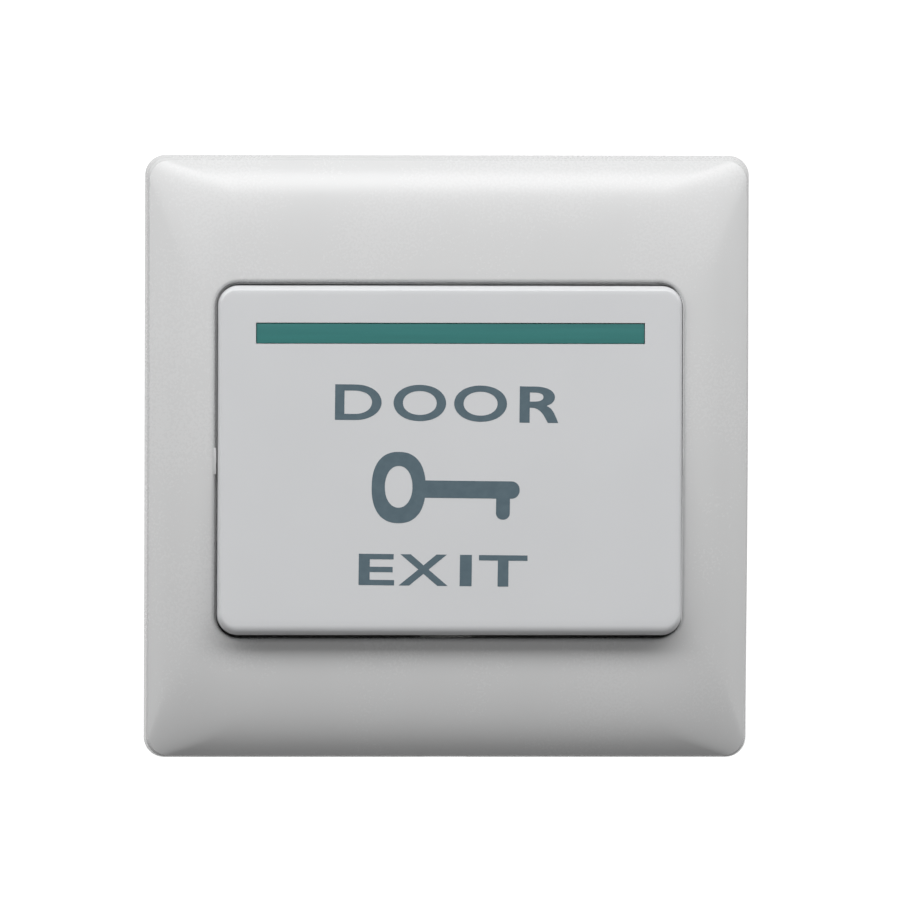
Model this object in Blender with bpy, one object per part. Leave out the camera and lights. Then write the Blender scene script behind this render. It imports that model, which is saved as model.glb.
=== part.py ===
"""Door exit button: a square 86 mm wall plate with a large spring-loaded push plate.

X runs to the right, Z up and +Y into the wall. The plane y = 0 is the wall, so all that
stands in front of the wall has a negative y, and the switch block behind it a positive one.
The origin is the centre of the wall plate on the wall plane.

The push plate hangs on two pins at its top. At rest two springs hold its lower edge out,
and two hooks stop it. Pressing it turns it in and drives a plunger, whose contact bridge
joins the two terminals.
"""

import math

import bmesh
import bpy
from mathutils import Vector

MM = 0.001

# Fits
SEAT_GAP = 0.3 * MM
RUN_GAP = 0.3 * MM
CLOSED_CONTACT_GAP = 0.1 * MM

# Outer frame
FRAME_SIZE = 86.0 * MM
FRAME_DEPTH = 9.0 * MM
FRAME_CORNER = 2.9 * MM
FRAME_WALL = 2.0 * MM
SIDE_BORDER = 9.3 * MM
END_BORDER = 17.4 * MM
EDGE_DRAFT = 0.25 * MM
RIM_EDGE = 0.4 * MM
RIM_EDGE_TURN = math.radians(60)
CROWN_RISE = 2.5 * MM
CROWN_POWER = 3.2
CROWN_CORNER_GROWTH = 5.0 * MM
ARCH_RADIUS = 300.0 * MM
OPENING_CORNER = 3.4 * MM
OPENING_EDGE = 0.5 * MM
LIP_DEPTH = 4.0 * MM
LIP_WALL = 1.6 * MM
GUIDE_RIB_HEIGHT = 0.3 * MM
GUIDE_RIB_LENGTH = 4.0 * MM
GUIDE_RIB_DROP = 1.0 * MM
LUG_REACH = 1.5 * MM
LUG_THICKNESS = 0.8 * MM
LUG_LENGTH = 5.4 * MM
LUG_SPACING = 40.0 * MM
PRY_SLOT_WIDTH = 6.0 * MM
PRY_SLOT_DEPTH = 1.0 * MM
STIFFENER_WALL = 1.0 * MM
STIFFENER_LENGTH = 10.0 * MM
STIFFENER_SPACING = 22.0 * MM
STIFFENER_ROOM = 0.6 * MM

# Mounting plate
SHEET_THICKNESS = 2.0 * MM
SHEET_CORNER = 2.0 * MM
FIXING_CENTRES = 60.3 * MM
FIXING_SLOT_LENGTH = 9.0 * MM
FIXING_SLOT_WIDTH = 4.6 * MM
SCREW_HEAD_ROOM = 9.6 * MM
COLLAR_WALL = 1.5 * MM
EAR_THICKNESS = 2.5 * MM
EAR_RIM = 1.0 * MM
BUSH_WALL = 1.4 * MM
BUSH_HEIGHT = 1.6 * MM
CUP_WALL = 0.8 * MM
CUP_HEIGHT = 1.2 * MM

# Push plate
PLATE_SIDE_GAP = 0.55 * MM
PLATE_TOP_GAP = 0.9 * MM
PLATE_BOTTOM_GAP = 0.6 * MM
PLATE_CORNER = 2.9 * MM
PLATE_PROUD = 0.3 * MM
PLATE_EDGE = 1.1 * MM
PLATE_FACE_WALL = 2.2 * MM
PLATE_SKIRT_WALL = 1.6 * MM
PLATE_SKIRT_DEPTH = 6.1 * MM
PLATE_DRAFT = 0.2 * MM
REST_TILT = math.radians(2.5)
RIB_WALL = 1.2 * MM
RIB_DEPTH = 1.8 * MM
RIB_SPACING = 11.0 * MM
CROSS_RIB_DROP = 7.0 * MM

# Hinge of the push plate
HINGE_HEIGHT = 2.4 * MM
HINGE_DROP = 5.3 * MM
PIN_RADIUS = 1.0 * MM
PIN_LENGTH = 3.1 * MM
PIN_MOUTH = 1.7 * MM
PLATE_EAR_WALL = 1.8 * MM
PLATE_EAR_RIM = 0.9 * MM
PLATE_EAR_INSET = 9.35 * MM

# Stop hooks at the foot of the push plate
HOOK_RISE = 3.5 * MM
HOOK_SPACING = 30.0 * MM
HOOK_WIDTH = 4.0 * MM
HOOK_STEM = 1.2 * MM
HOOK_BARB = 1.0 * MM
HOOK_HEAD = 1.5 * MM

# Luminous strip
STRIP_END_MARGIN = 5.45 * MM
STRIP_HEIGHT = 2.9 * MM
STRIP_THICKNESS = 0.9 * MM
STRIP_SUNK = 0.15 * MM
STRIP_FIT = 0.1 * MM
STRIP_FROM_TOP = 5.3 * MM

# Return springs of the push plate
PLATE_SPRING_INSET = 11.15 * MM
PLATE_SPRING_RISE = 12.3 * MM
PLATE_SPRING_RADIUS = 2.5 * MM
PLATE_SPRING_WIRE = 0.5 * MM
PLATE_SPRING_TURNS = 5.0
PEG_LENGTH = 2.0 * MM
PEG_GAP = 0.7 * MM

# Plunger, with its bush in the mounting plate
PLUNGER_RISE = 16.3 * MM
PLUNGER_RADIUS = 2.5 * MM
DOME_HEIGHT = 0.9 * MM
DOME_START = math.radians(10)
PUSHER_RADIUS = 3.5 * MM
PUSHER_LENGTH = 2.3 * MM
FLANGE_RADIUS = 3.8 * MM
FLANGE_THICKNESS = 1.0 * MM
STEM_RADIUS = 1.2 * MM
STEM_HEAD_RADIUS = 1.9 * MM
STEM_HEAD_THICKNESS = 0.8 * MM
PILOT_RADIUS = 0.75 * MM
PILOT_LENGTH = 0.9 * MM

# Springs of the plunger
CONTACT_SPRING_RADIUS = 2.2 * MM
CONTACT_SPRING_WIRE = 0.3 * MM
CONTACT_SPRING_LENGTH = 1.5 * MM
CONTACT_SPRING_TURNS = 2.5
RETURN_SPRING_RADIUS = 1.7 * MM
RETURN_SPRING_WIRE = 0.35 * MM
RETURN_SPRING_TURNS = 4.0
SPRING_POCKET_DEPTH = 1.6 * MM

# Contacts and terminals
BRIDGE_LENGTH = 16.4 * MM
BRIDGE_HEIGHT = 4.8 * MM
BRIDGE_THICKNESS = 0.6 * MM
CONTACT_SPACING = 13.2 * MM
CONTACT_RADIUS = 1.4 * MM
CONTACT_THICKNESS = 0.5 * MM
SHANK_RADIUS = 0.7 * MM
STRIP_METAL = 0.8 * MM
TERMINAL_WIDTH = 5.0 * MM
TERMINAL_LUG_HEIGHT = 2.6 * MM
BEND_RADIUS = 0.4 * MM
CLAMP_SIZE = 5.4 * MM
CLAMP_THICKNESS = 0.8 * MM
TERMINAL_SCREW_RADIUS = 1.3 * MM
TERMINAL_SCREW_LENGTH = 3.6 * MM
TERMINAL_HEAD_RADIUS = 2.6 * MM
TERMINAL_HEAD_THICKNESS = 1.6 * MM
SCREW_POINT_SHARE = 0.6
HEAD_RIM_SHARE = 0.55
HEAD_SHOULDER_SHARE = 0.82
HEAD_SHOULDER_HEIGHT_SHARE = 0.9
HEAD_CROWN_SHARE = 0.5
DRIVER_SLOT_WIDTH = 0.7 * MM
DRIVER_SLOT_DEPTH = 0.8 * MM

# Switch housing
HOUSING_WALL = 1.6 * MM
HOUSING_CORNER = 1.2 * MM
HOUSING_EDGE = 0.5 * MM
CHAMBER_END_GAP = 0.8 * MM
CHAMBER_SIDE_GAP = 3.0 * MM
WELL_WIDTH = 7.6 * MM
WELL_SIDE_GAP = 0.6 * MM
CORE_FLOOR = 1.4 * MM
HEAD_COVER = 0.4 * MM
WIRE_NOTCH_WIDTH = 3.4 * MM
HOUSING_EAR_RADIUS = 3.3 * MM
HOUSING_EAR_THICKNESS = 2.2 * MM
HOUSING_BOSS_RADIUS = 2.4 * MM
HOUSING_SCREW_RADIUS = 1.1 * MM
HOUSING_SCREW_LENGTH = 6.0 * MM
HOUSING_HEAD_RADIUS = 2.2 * MM
HOUSING_HEAD_THICKNESS = 1.4 * MM

# How finely round forms are cut
CORNER_STEPS = 6
CROWN_STEPS = 10
INNER_CROWN_STEPS = 4
CROWN_SPREAD = 1.3
SIDE_STEPS = 8
EDGE_STEPS = 3
ROUND_SIDES = 20
SMALL_SIDES = 14
COIL_STEPS = 12
COIL_END_TURN = 0.8
COIL_END_PITCH = 1.15
WIRE_SIDES = 6
SHARP_ANGLE = math.radians(32)
OVERRUN = 1.0 * MM
WELD = 0.4 * MM
ROUND_END_TRIM = 0.001 * MM

# Planes and axes that several pieces share
OPENING_WIDTH = FRAME_SIZE - 2 * SIDE_BORDER
OPENING_HEIGHT = FRAME_SIZE - 2 * END_BORDER
FRONT_Y = -FRAME_DEPTH
LIP_END_Y = FRONT_Y + LIP_DEPTH
SHEET_FRONT_Y = -SHEET_THICKNESS
HINGE_Y = SHEET_FRONT_Y - HINGE_HEIGHT
HINGE_Z = OPENING_HEIGHT / 2 - HINGE_DROP
PLATE_FACE_Y = FRONT_Y - PLATE_PROUD
PLATE_INNER_Y = PLATE_FACE_Y + PLATE_FACE_WALL
PLATE_HALF_WIDTH = OPENING_WIDTH / 2 - PLATE_SIDE_GAP
PLATE_TOP_Z = OPENING_HEIGHT / 2 - PLATE_TOP_GAP
PLATE_BOTTOM_Z = -OPENING_HEIGHT / 2 + PLATE_BOTTOM_GAP
FRAME_INSIDE = FRAME_SIZE / 2 - FRAME_WALL
SHEET_HALF = FRAME_INSIDE - EDGE_DRAFT - SEAT_GAP
PLATE_EAR_OUTSIDE = PLATE_HALF_WIDTH - PLATE_EAR_INSET

PLUNGER_Z = PLATE_BOTTOM_Z + PLUNGER_RISE
PLUNGER_LEVER = HINGE_Z - PLUNGER_Z
PLATE_SPRING_X = PLATE_HALF_WIDTH - PLATE_SPRING_INSET
PLATE_SPRING_Z = PLATE_BOTTOM_Z + PLATE_SPRING_RISE
STRIP_HALF_LENGTH = PLATE_HALF_WIDTH - STRIP_END_MARGIN
PUSHER_END_Y = PLATE_INNER_Y + PUSHER_LENGTH
TRAVEL = PLUNGER_LEVER * REST_TILT

FLANGE_FRONT_Y = SEAT_GAP
FLANGE_BACK_Y = FLANGE_FRONT_Y + FLANGE_THICKNESS
BRIDGE_FRONT_Y = FLANGE_BACK_Y + 2 * SEAT_GAP + CONTACT_SPRING_LENGTH
BRIDGE_BACK_Y = BRIDGE_FRONT_Y + BRIDGE_THICKNESS
STEM_HEAD_Y = BRIDGE_BACK_Y + SEAT_GAP
STEM_END_Y = STEM_HEAD_Y + STEM_HEAD_THICKNESS
MOVING_CONTACT_BACK_Y = BRIDGE_BACK_Y + SEAT_GAP + CONTACT_THICKNESS
FIXED_CONTACT_FRONT_Y = MOVING_CONTACT_BACK_Y + TRAVEL + CLOSED_CONTACT_GAP
TERMINAL_FRONT_Y = FIXED_CONTACT_FRONT_Y + CONTACT_THICKNESS + SEAT_GAP
TERMINAL_BACK_Y = TERMINAL_FRONT_Y + STRIP_METAL
CHAMBER_FLOOR_Y = TERMINAL_BACK_Y + SEAT_GAP
WELL_FLOOR_Y = TERMINAL_FRONT_Y - SEAT_GAP
CLAMP_FRONT_Y = TERMINAL_BACK_Y + SEAT_GAP
CLAMP_BACK_Y = CLAMP_FRONT_Y + CLAMP_THICKNESS
TERMINAL_HEAD_FRONT_Y = CLAMP_BACK_Y + SEAT_GAP
TERMINAL_HEAD_BACK_Y = TERMINAL_HEAD_FRONT_Y + TERMINAL_HEAD_THICKNESS
HOUSING_FRONT_Y = SEAT_GAP
HOUSING_BACK_Y = TERMINAL_HEAD_BACK_Y + HEAD_COVER
SPRING_POCKET_Y = CHAMBER_FLOOR_Y + SPRING_POCKET_DEPTH

CHAMBER_HALF_X = BRIDGE_LENGTH / 2 + CHAMBER_END_GAP
CHAMBER_HALF_Z = BRIDGE_HEIGHT / 2 + CHAMBER_SIDE_GAP
WELL_INNER_X = CHAMBER_HALF_X + HOUSING_WALL
WELL_OUTER_X = WELL_INNER_X + WELL_WIDTH
HOUSING_HALF_X = WELL_OUTER_X + HOUSING_WALL
HOUSING_HALF_Z = CHAMBER_HALF_Z + HOUSING_WALL
TERMINAL_SCREW_X = WELL_INNER_X + WELL_SIDE_GAP + CLAMP_SIZE / 2
TERMINAL_OUTER_X = WELL_OUTER_X - SEAT_GAP
HOUSING_SCREW_Z = HOUSING_HALF_Z + HOUSING_EAR_RADIUS


# %% Mesh helpers

def rounded_rectangle(half_x, half_z, radius, y, centre_x=0.0, centre_z=0.0):
    """Points of a rounded rectangle in the plane at depth y, always as many."""
    points = []
    for corner, (side_x, side_z) in enumerate([(1, 1), (-1, 1), (-1, -1), (1, -1)]):
        for step in range(CORNER_STEPS + 1):
            angle = math.radians(90 * (corner + step / CORNER_STEPS))
            x = centre_x + side_x * (half_x - radius) + radius * math.cos(angle)
            z = centre_z + side_z * (half_z - radius) + radius * math.sin(angle)
            points.append(Vector((x, y, z)))
    return points


def stadium(length, width, y, centre_x=0.0, centre_z=0.0):
    """Points of a slot with round ends that runs along X."""
    return rounded_rectangle(length / 2, width / 2, width / 2 - ROUND_END_TRIM, y, centre_x, centre_z)


def loft(bm, rings, closed=False):
    """Joins rings of as many points by quads. An open loft is capped at both ends."""
    loops = [[bm.verts.new(point) for point in ring] for ring in rings]
    pairs = list(zip(loops, loops[1:]))
    if closed:
        pairs.append((loops[-1], loops[0]))
    else:
        bm.faces.new(loops[0])
        bm.faces.new(loops[-1])
    for first, second in pairs:
        for i in range(len(first)):
            j = (i + 1) % len(first)
            bm.faces.new((first[i], first[j], second[j], second[i]))


def box(bm, low, high):
    """A box between two corners, given in any order."""
    rings = []
    for y in (low[1], high[1]):
        corners = [(low[0], low[2]), (high[0], low[2]), (high[0], high[2]), (low[0], high[2])]
        rings.append([Vector((x, y, z)) for x, z in corners])
    loft(bm, rings)


def turned(bm, profile, centre=(0.0, 0.0), sides=ROUND_SIDES, axis="Y"):
    """A solid of revolution from (radius, distance) pairs.

    About Y the centre is (x, z), and about X it is (y, z).
    """
    rings = []
    for radius, distance in profile:
        ring = []
        for side in range(sides):
            angle = 2 * math.pi * side / sides
            first = centre[0] + radius * math.cos(angle)
            second = centre[1] + radius * math.sin(angle)
            point = (first, distance, second) if axis == "Y" else (distance, first, second)
            ring.append(Vector(point))
        rings.append(ring)
    loft(bm, rings)


def prism(bm, outline, x_low, x_high):
    """A (y, z) outline drawn out along X."""
    loft(bm, [[Vector((x, y, z)) for y, z in outline] for x in (x_low, x_high)])


def coil(bm, radius, wire, front_y, back_y, turns, centre=(0.0, 0.0)):
    """A compression spring about Y, whose end turns lie flat. radius is the coil's outside."""
    wire_radius = wire / 2
    path_radius = radius - wire_radius
    end_turn = COIL_END_TURN
    end_pitch = COIL_END_PITCH * wire
    steps = round(turns * COIL_STEPS)
    middle = back_y - front_y - wire - 2 * end_turn * end_pitch
    rings = []
    for step in range(steps + 1):
        turn = turns * step / steps
        first_end = min(turn, end_turn)
        last_end = max(turn - (turns - end_turn), 0.0)
        between = turn - first_end - last_end
        rise = (first_end + last_end) * end_pitch + between / (turns - 2 * end_turn) * middle
        angle = 2 * math.pi * turn
        outward = Vector((math.cos(angle), 0.0, math.sin(angle)))
        middle_point = path_radius * outward + Vector((centre[0], front_y + wire_radius + rise, centre[1]))
        ring = []
        for side in range(WIRE_SIDES):
            around = 2 * math.pi * side / WIRE_SIDES
            offset = outward * math.cos(around) + Vector((0.0, 1.0, 0.0)) * math.sin(around)
            ring.append(middle_point + wire_radius * offset)
        rings.append(ring)
    loft(bm, rings)


def closed_mesh(name, draw):
    """A mesh whose faces all point out, drawn by a function that takes a bmesh."""
    bm = bmesh.new()
    draw(bm)
    bmesh.ops.recalc_face_normals(bm, faces=bm.faces)
    if bm.calc_volume(signed=True) < 0:
        bmesh.ops.reverse_faces(bm, faces=bm.faces)
    mesh = bpy.data.meshes.new(name)
    bm.to_mesh(mesh)
    bm.free()
    return mesh


def shade(mesh):
    """Smooth over gentle turns, with a crisp line at every real edge."""
    mesh.shade_smooth()
    mesh.set_sharp_from_angle(angle=SHARP_ANGLE)


def piece(name, draw, material, parent=None, location=(0.0, 0.0, 0.0)):
    """One named sub-part of the button."""
    mesh = closed_mesh(name, draw)
    mesh.materials.append(material)
    shade(mesh)
    part = bpy.data.objects.new(name, mesh)
    part.location = location
    part.parent = parent
    bpy.context.scene.collection.objects.link(part)
    return part


def combine(part, operation, draw):
    """Adds or cuts the solids that draw makes, by a Boolean that is applied at once."""
    tool = bpy.data.objects.new("tool", closed_mesh("tool", draw))
    tool.location = part.location
    tool.parent = part.parent
    bpy.context.scene.collection.objects.link(tool)
    step = part.modifiers.new("step", "BOOLEAN")
    step.operation = operation
    step.solver = "EXACT"
    step.object = tool
    bpy.context.view_layer.update()
    evaluated = part.evaluated_get(bpy.context.evaluated_depsgraph_get())
    before = part.data
    part.data = bpy.data.meshes.new_from_object(evaluated)
    part.modifiers.clear()
    bpy.data.meshes.remove(before)
    part.data.name = part.name
    bpy.data.meshes.remove(tool.data)
    shade(part.data)


def add(part, draw):
    combine(part, "UNION", draw)


def cut(part, draw):
    combine(part, "DIFFERENCE", draw)


# %% Materials

def plain_material(name, colour, roughness, metallic=0.0):
    material = bpy.data.materials.new(name)
    material.use_nodes = True
    shader = material.node_tree.nodes["Principled BSDF"]
    shader.inputs["Base Color"].default_value = (*colour, 1.0)
    shader.inputs["Roughness"].default_value = roughness
    shader.inputs["Metallic"].default_value = metallic
    return material


def make_materials():
    return {
        "white_abs": plain_material("white_abs", (0.62, 0.62, 0.61), 0.3),
        "plate_abs": plain_material("plate_abs", (0.60, 0.60, 0.60), 0.42),
        "chassis": plain_material("chassis", (0.52, 0.52, 0.50), 0.5),
        "block": plain_material("block", (0.40, 0.40, 0.38), 0.55),
        "teal": plain_material("teal", (0.05, 0.20, 0.18), 0.35),
        "acetal": plain_material("acetal", (0.70, 0.66, 0.56), 0.4),
        "brass": plain_material("brass", (0.72, 0.53, 0.25), 0.3, 1.0),
        "contact": plain_material("contact", (0.80, 0.79, 0.76), 0.3, 1.0),
        "steel": plain_material("steel", (0.62, 0.62, 0.60), 0.32, 1.0),
    }


# %% Pose of the push plate

def hinge_axis():
    """The empty on the push plate's axis. It holds the plate at its rest tilt."""
    axis = bpy.data.objects.new("push_plate_axis", None)
    axis.location = (0.0, HINGE_Y, HINGE_Z)
    axis.rotation_euler = (-REST_TILT, 0.0, 0.0)
    bpy.context.scene.collection.objects.link(axis)
    return axis


def resting(y, z):
    """Where a point of the pressed push plate lies at rest, as (y, z)."""
    from_y = y - HINGE_Y
    from_z = z - HINGE_Z
    rest_y = HINGE_Y + from_y * math.cos(REST_TILT) + from_z * math.sin(REST_TILT)
    rest_z = HINGE_Z - from_y * math.sin(REST_TILT) + from_z * math.cos(REST_TILT)
    return rest_y, rest_z


# %% Outer frame

def arch(z):
    """How far the arched front has fallen back at the height z."""
    return z * z / (2 * ARCH_RADIUS)


def crown_y(part_way, z):
    """Depth of the front, part way from the outer rim (0) to the opening (1)."""
    fall = CROWN_RISE * (1 - part_way) ** CROWN_POWER
    return FRONT_Y + arch(z) + fall


def frame_ring(half_x, half_z, radius, depth):
    """A rounded rectangle with points along its upright sides, each at the depth of its z."""
    corner_points = CORNER_STEPS + 1
    flat = rounded_rectangle(half_x, half_z, radius, 0.0)
    ring = []
    for place, point in enumerate(flat):
        ring.append(point)
        if (place + 1) % (2 * corner_points) == 0:
            following = flat[(place + 1) % len(flat)]
            for step in range(1, SIDE_STEPS):
                ring.append(point.lerp(following, step / SIDE_STEPS))
    return [Vector((point.x, depth(point.z), point.z)) for point in ring]


def crown_ring(outer_half, part_way, inner_x, inner_z, inner_corner, outer_corner, sink):
    """A ring of the crown between the outer rim and an inner rectangle, sunk under the front."""
    half_x = outer_half + (inner_x - outer_half) * part_way
    half_z = outer_half + (inner_z - outer_half) * part_way
    growth = CROWN_CORNER_GROWTH * math.sin(math.pi * part_way)
    corner = outer_corner + (inner_corner - outer_corner) * part_way + growth
    across = (FRAME_SIZE / 2 - half_x) / SIDE_BORDER
    return frame_ring(half_x, half_z, corner, lambda z: crown_y(min(across, 1.0), z) + sink)


def lip_ring(out, depth):
    """The opening's outline, grown by out on every side."""
    half_x = OPENING_WIDTH / 2 + out
    half_z = OPENING_HEIGHT / 2 + out
    return frame_ring(half_x, half_z, OPENING_CORNER + out, depth)


def frame_section():
    """The frame's closed section, from the outer rim over the front and back to it."""
    half = FRAME_SIZE / 2
    rings = [frame_ring(half, half, FRAME_CORNER, lambda z: 0.0)]
    rim = half - EDGE_DRAFT
    for step in range(EDGE_STEPS):
        angle = RIM_EDGE_TURN * step / EDGE_STEPS
        side = rim - RIM_EDGE * (1 - math.cos(angle))
        drop = RIM_EDGE * (math.sin(RIM_EDGE_TURN) - math.sin(angle))
        rings.append(frame_ring(side, side, FRAME_CORNER, lambda z, drop=drop: crown_y(0.0, z) + drop))
    rim -= RIM_EDGE * (1 - math.cos(RIM_EDGE_TURN))
    inner_x = OPENING_WIDTH / 2 + OPENING_EDGE
    inner_z = OPENING_HEIGHT / 2 + OPENING_EDGE
    inner_corner = OPENING_CORNER + OPENING_EDGE
    for step in range(CROWN_STEPS):
        part_way = (step / CROWN_STEPS) ** CROWN_SPREAD
        rings.append(
            crown_ring(rim, part_way, inner_x, inner_z, inner_corner, FRAME_CORNER, 0.0)
        )
    for step in range(EDGE_STEPS + 1):
        angle = math.radians(90 * step / EDGE_STEPS)
        out = OPENING_EDGE * (1 - math.sin(angle))
        drop = OPENING_EDGE * (1 - math.cos(angle))
        rings.append(lip_ring(out, lambda z, drop=drop: crown_y(1.0, z) + drop))
    rings.append(lip_ring(0.0, lambda z: LIP_END_Y))
    rings.append(lip_ring(LIP_WALL, lambda z: LIP_END_Y))
    inner_x = OPENING_WIDTH / 2 + LIP_WALL
    inner_z = OPENING_HEIGHT / 2 + LIP_WALL
    inner_corner = OPENING_CORNER + LIP_WALL
    inside = FRAME_INSIDE - EDGE_DRAFT
    for step in range(INNER_CROWN_STEPS, -1, -1):
        part_way = step / INNER_CROWN_STEPS
        rings.append(
            crown_ring(
                inside, part_way, inner_x, inner_z, inner_corner, SHEET_CORNER, FRAME_WALL
            )
        )
    rings.append(frame_ring(FRAME_INSIDE, FRAME_INSIDE, SHEET_CORNER, lambda z: 0.0))
    return rings


def opening_ring(out, y):
    """The opening's outline, grown by out on every side."""
    return rounded_rectangle(
        OPENING_WIDTH / 2 + out, OPENING_HEIGHT / 2 + out, OPENING_CORNER + out, y
    )


def frame_lugs(bm):
    """Four lugs on the side walls, which snap under the mounting plate's edge."""
    back = -SEAT_GAP / 3
    for side in (-1, 1):
        for z in (-LUG_SPACING / 2, LUG_SPACING / 2):
            low = (side * (FRAME_INSIDE + WELD), back, z - LUG_LENGTH / 2)
            high = (side * (FRAME_INSIDE - LUG_REACH), back - LUG_THICKNESS, z + LUG_LENGTH / 2)
            box(bm, low, high)


def frame_guide_ribs(bm):
    """A short rib in each side of the opening, which keeps the push plate centred."""
    for side in (-1, 1):
        wall = side * OPENING_WIDTH / 2
        low = (wall + side * WELD, FRONT_Y + GUIDE_RIB_DROP, -GUIDE_RIB_LENGTH / 2)
        high = (wall - side * GUIDE_RIB_HEIGHT, LIP_END_Y - SEAT_GAP, GUIDE_RIB_LENGTH / 2)
        box(bm, low, high)


def frame_stiffeners(bm):
    """Ribs under the wide top and bottom borders, clear of the mounting plate."""
    start = OPENING_HEIGHT / 2 + COLLAR_WALL + 2 * SEAT_GAP
    end = start + STIFFENER_LENGTH
    foot = SHEET_FRONT_Y - STIFFENER_ROOM
    outline = [(foot, start), (foot, end)]
    for step in range(INNER_CROWN_STEPS, -1, -1):
        z = start + STIFFENER_LENGTH * step / INNER_CROWN_STEPS
        part_way = (FRAME_SIZE / 2 - z) / END_BORDER
        outline.append((crown_y(part_way, z) + FRAME_WALL / 2, z))
    for end_sign in (-1, 1):
        turned_over = [(y, end_sign * z) for y, z in outline]
        for x in (-STIFFENER_SPACING, STIFFENER_SPACING):
            prism(bm, turned_over, x - STIFFENER_WALL / 2, x + STIFFENER_WALL / 2)


def frame_pry_slot(bm):
    """The slot in the lower rim for the tip of a screwdriver."""
    outside = -FRAME_SIZE / 2
    low = (-PRY_SLOT_WIDTH / 2, -PRY_SLOT_DEPTH, outside - OVERRUN)
    high = (PRY_SLOT_WIDTH / 2, OVERRUN, outside + FRAME_WALL + OVERRUN)
    box(bm, low, high)


def make_outer_frame(materials):
    frame = piece("outer_frame", lambda bm: loft(bm, frame_section(), True), materials["white_abs"])
    add(frame, frame_lugs)
    add(frame, frame_guide_ribs)
    add(frame, frame_stiffeners)
    cut(frame, frame_pry_slot)


# %% Mounting plate

def sheet(bm):
    ring = [rounded_rectangle(SHEET_HALF, SHEET_HALF, SHEET_CORNER, y) for y in (0.0, SHEET_FRONT_Y)]
    loft(bm, ring)


def collar(bm):
    """The wall round the opening, which backs the frame's lip."""
    top = LIP_END_Y + SEAT_GAP
    foot = SHEET_FRONT_Y + WELD
    rings = [
        opening_ring(0.0, foot),
        opening_ring(0.0, top),
        opening_ring(COLLAR_WALL, top),
        opening_ring(COLLAR_WALL, foot),
    ]
    loft(bm, rings, True)


def bracket_outline(radius, foot_y, centre_y, centre_z):
    """An ear's (y, z) outline: a round end about its hole and straight sides to its foot."""
    outline = [(foot_y, centre_z + radius)]
    toward = 1 if centre_y > foot_y else -1
    steps = SMALL_SIDES // 2
    for step in range(steps + 1):
        angle = math.pi * step / steps
        y = centre_y + toward * radius * math.sin(angle)
        outline.append((y, centre_z + radius * math.cos(angle)))
    outline.append((foot_y, centre_z - radius))
    return outline


def sheet_ears(bm):
    """The two ears that carry the push plate's pins."""
    radius = PIN_RADIUS + RUN_GAP + EAR_RIM
    inside = PLATE_EAR_OUTSIDE + RUN_GAP
    outline = bracket_outline(radius, SHEET_FRONT_Y + WELD, HINGE_Y, HINGE_Z)
    for side in (-1, 1):
        prism(bm, outline, side * inside, side * (inside + EAR_THICKNESS))


def sheet_ear_holes(bm):
    """The pins' holes, each with a narrower mouth through which its pin snaps in."""
    inside = PLATE_EAR_OUTSIDE + RUN_GAP
    ends = (inside - OVERRUN / 2, inside + EAR_THICKNESS + OVERRUN / 2)
    radius = PIN_RADIUS + RUN_GAP
    steps = ROUND_SIDES - 2
    half_mouth = math.asin(PIN_MOUTH / 2 / radius)
    front = HINGE_Y - radius - EAR_RIM - OVERRUN
    outline = [(front, HINGE_Z + PIN_MOUTH / 2)]
    for step in range(steps + 1):
        angle = half_mouth + (2 * math.pi - 2 * half_mouth) * step / steps
        y = HINGE_Y - radius * math.cos(angle)
        outline.append((y, HINGE_Z + radius * math.sin(angle)))
    outline.append((front, HINGE_Z - PIN_MOUTH / 2))
    for side in (-1, 1):
        prism(bm, outline, side * ends[0], side * ends[1])


def sheet_bush(bm):
    radius = PLUNGER_RADIUS + RUN_GAP + BUSH_WALL
    ends = [(radius, SHEET_FRONT_Y + WELD), (radius, SHEET_FRONT_Y - BUSH_HEIGHT)]
    turned(bm, ends, (0.0, PLUNGER_Z))


def sheet_cups(bm):
    """A cup for the foot of each return spring."""
    inner = PLATE_SPRING_RADIUS + RUN_GAP
    foot = SHEET_FRONT_Y + WELD
    top = SHEET_FRONT_Y - CUP_HEIGHT
    for x in (-PLATE_SPRING_X, PLATE_SPRING_X):
        turned(bm, [(inner + CUP_WALL, foot), (inner + CUP_WALL, top)], (x, PLATE_SPRING_Z))


def sheet_cup_hollows(bm):
    inner = PLATE_SPRING_RADIUS + RUN_GAP
    for x in (-PLATE_SPRING_X, PLATE_SPRING_X):
        ends = [(inner, SHEET_FRONT_Y), (inner, SHEET_FRONT_Y - CUP_HEIGHT - OVERRUN)]
        turned(bm, ends, (x, PLATE_SPRING_Z))


def sheet_fixing_slots(bm):
    """The two slots for the wall box's screws, and room for their heads in the collar."""
    for z in (-FIXING_CENTRES / 2, FIXING_CENTRES / 2):
        ends = (OVERRUN, SHEET_FRONT_Y - OVERRUN / 4)
        loft(bm, [stadium(FIXING_SLOT_LENGTH, FIXING_SLOT_WIDTH, y, 0.0, z) for y in ends])


def sheet_head_rooms(bm):
    length = FIXING_SLOT_LENGTH - FIXING_SLOT_WIDTH + SCREW_HEAD_ROOM
    for z in (-FIXING_CENTRES / 2, FIXING_CENTRES / 2):
        ends = (SHEET_FRONT_Y, LIP_END_Y - OVERRUN)
        loft(bm, [stadium(length, SCREW_HEAD_ROOM, y, 0.0, z) for y in ends])


def sheet_holes(bm):
    """The plunger's hole and those of the screws that hold the switch housing."""
    ends = (OVERRUN, SHEET_FRONT_Y - BUSH_HEIGHT - OVERRUN)
    turned(bm, [(PLUNGER_RADIUS + RUN_GAP, y) for y in ends], (0.0, PLUNGER_Z))
    radius = HOUSING_SCREW_RADIUS + RUN_GAP
    for z in (PLUNGER_Z - HOUSING_SCREW_Z, PLUNGER_Z + HOUSING_SCREW_Z):
        turned(bm, [(radius, y) for y in ends], (0.0, z), SMALL_SIDES)


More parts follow.
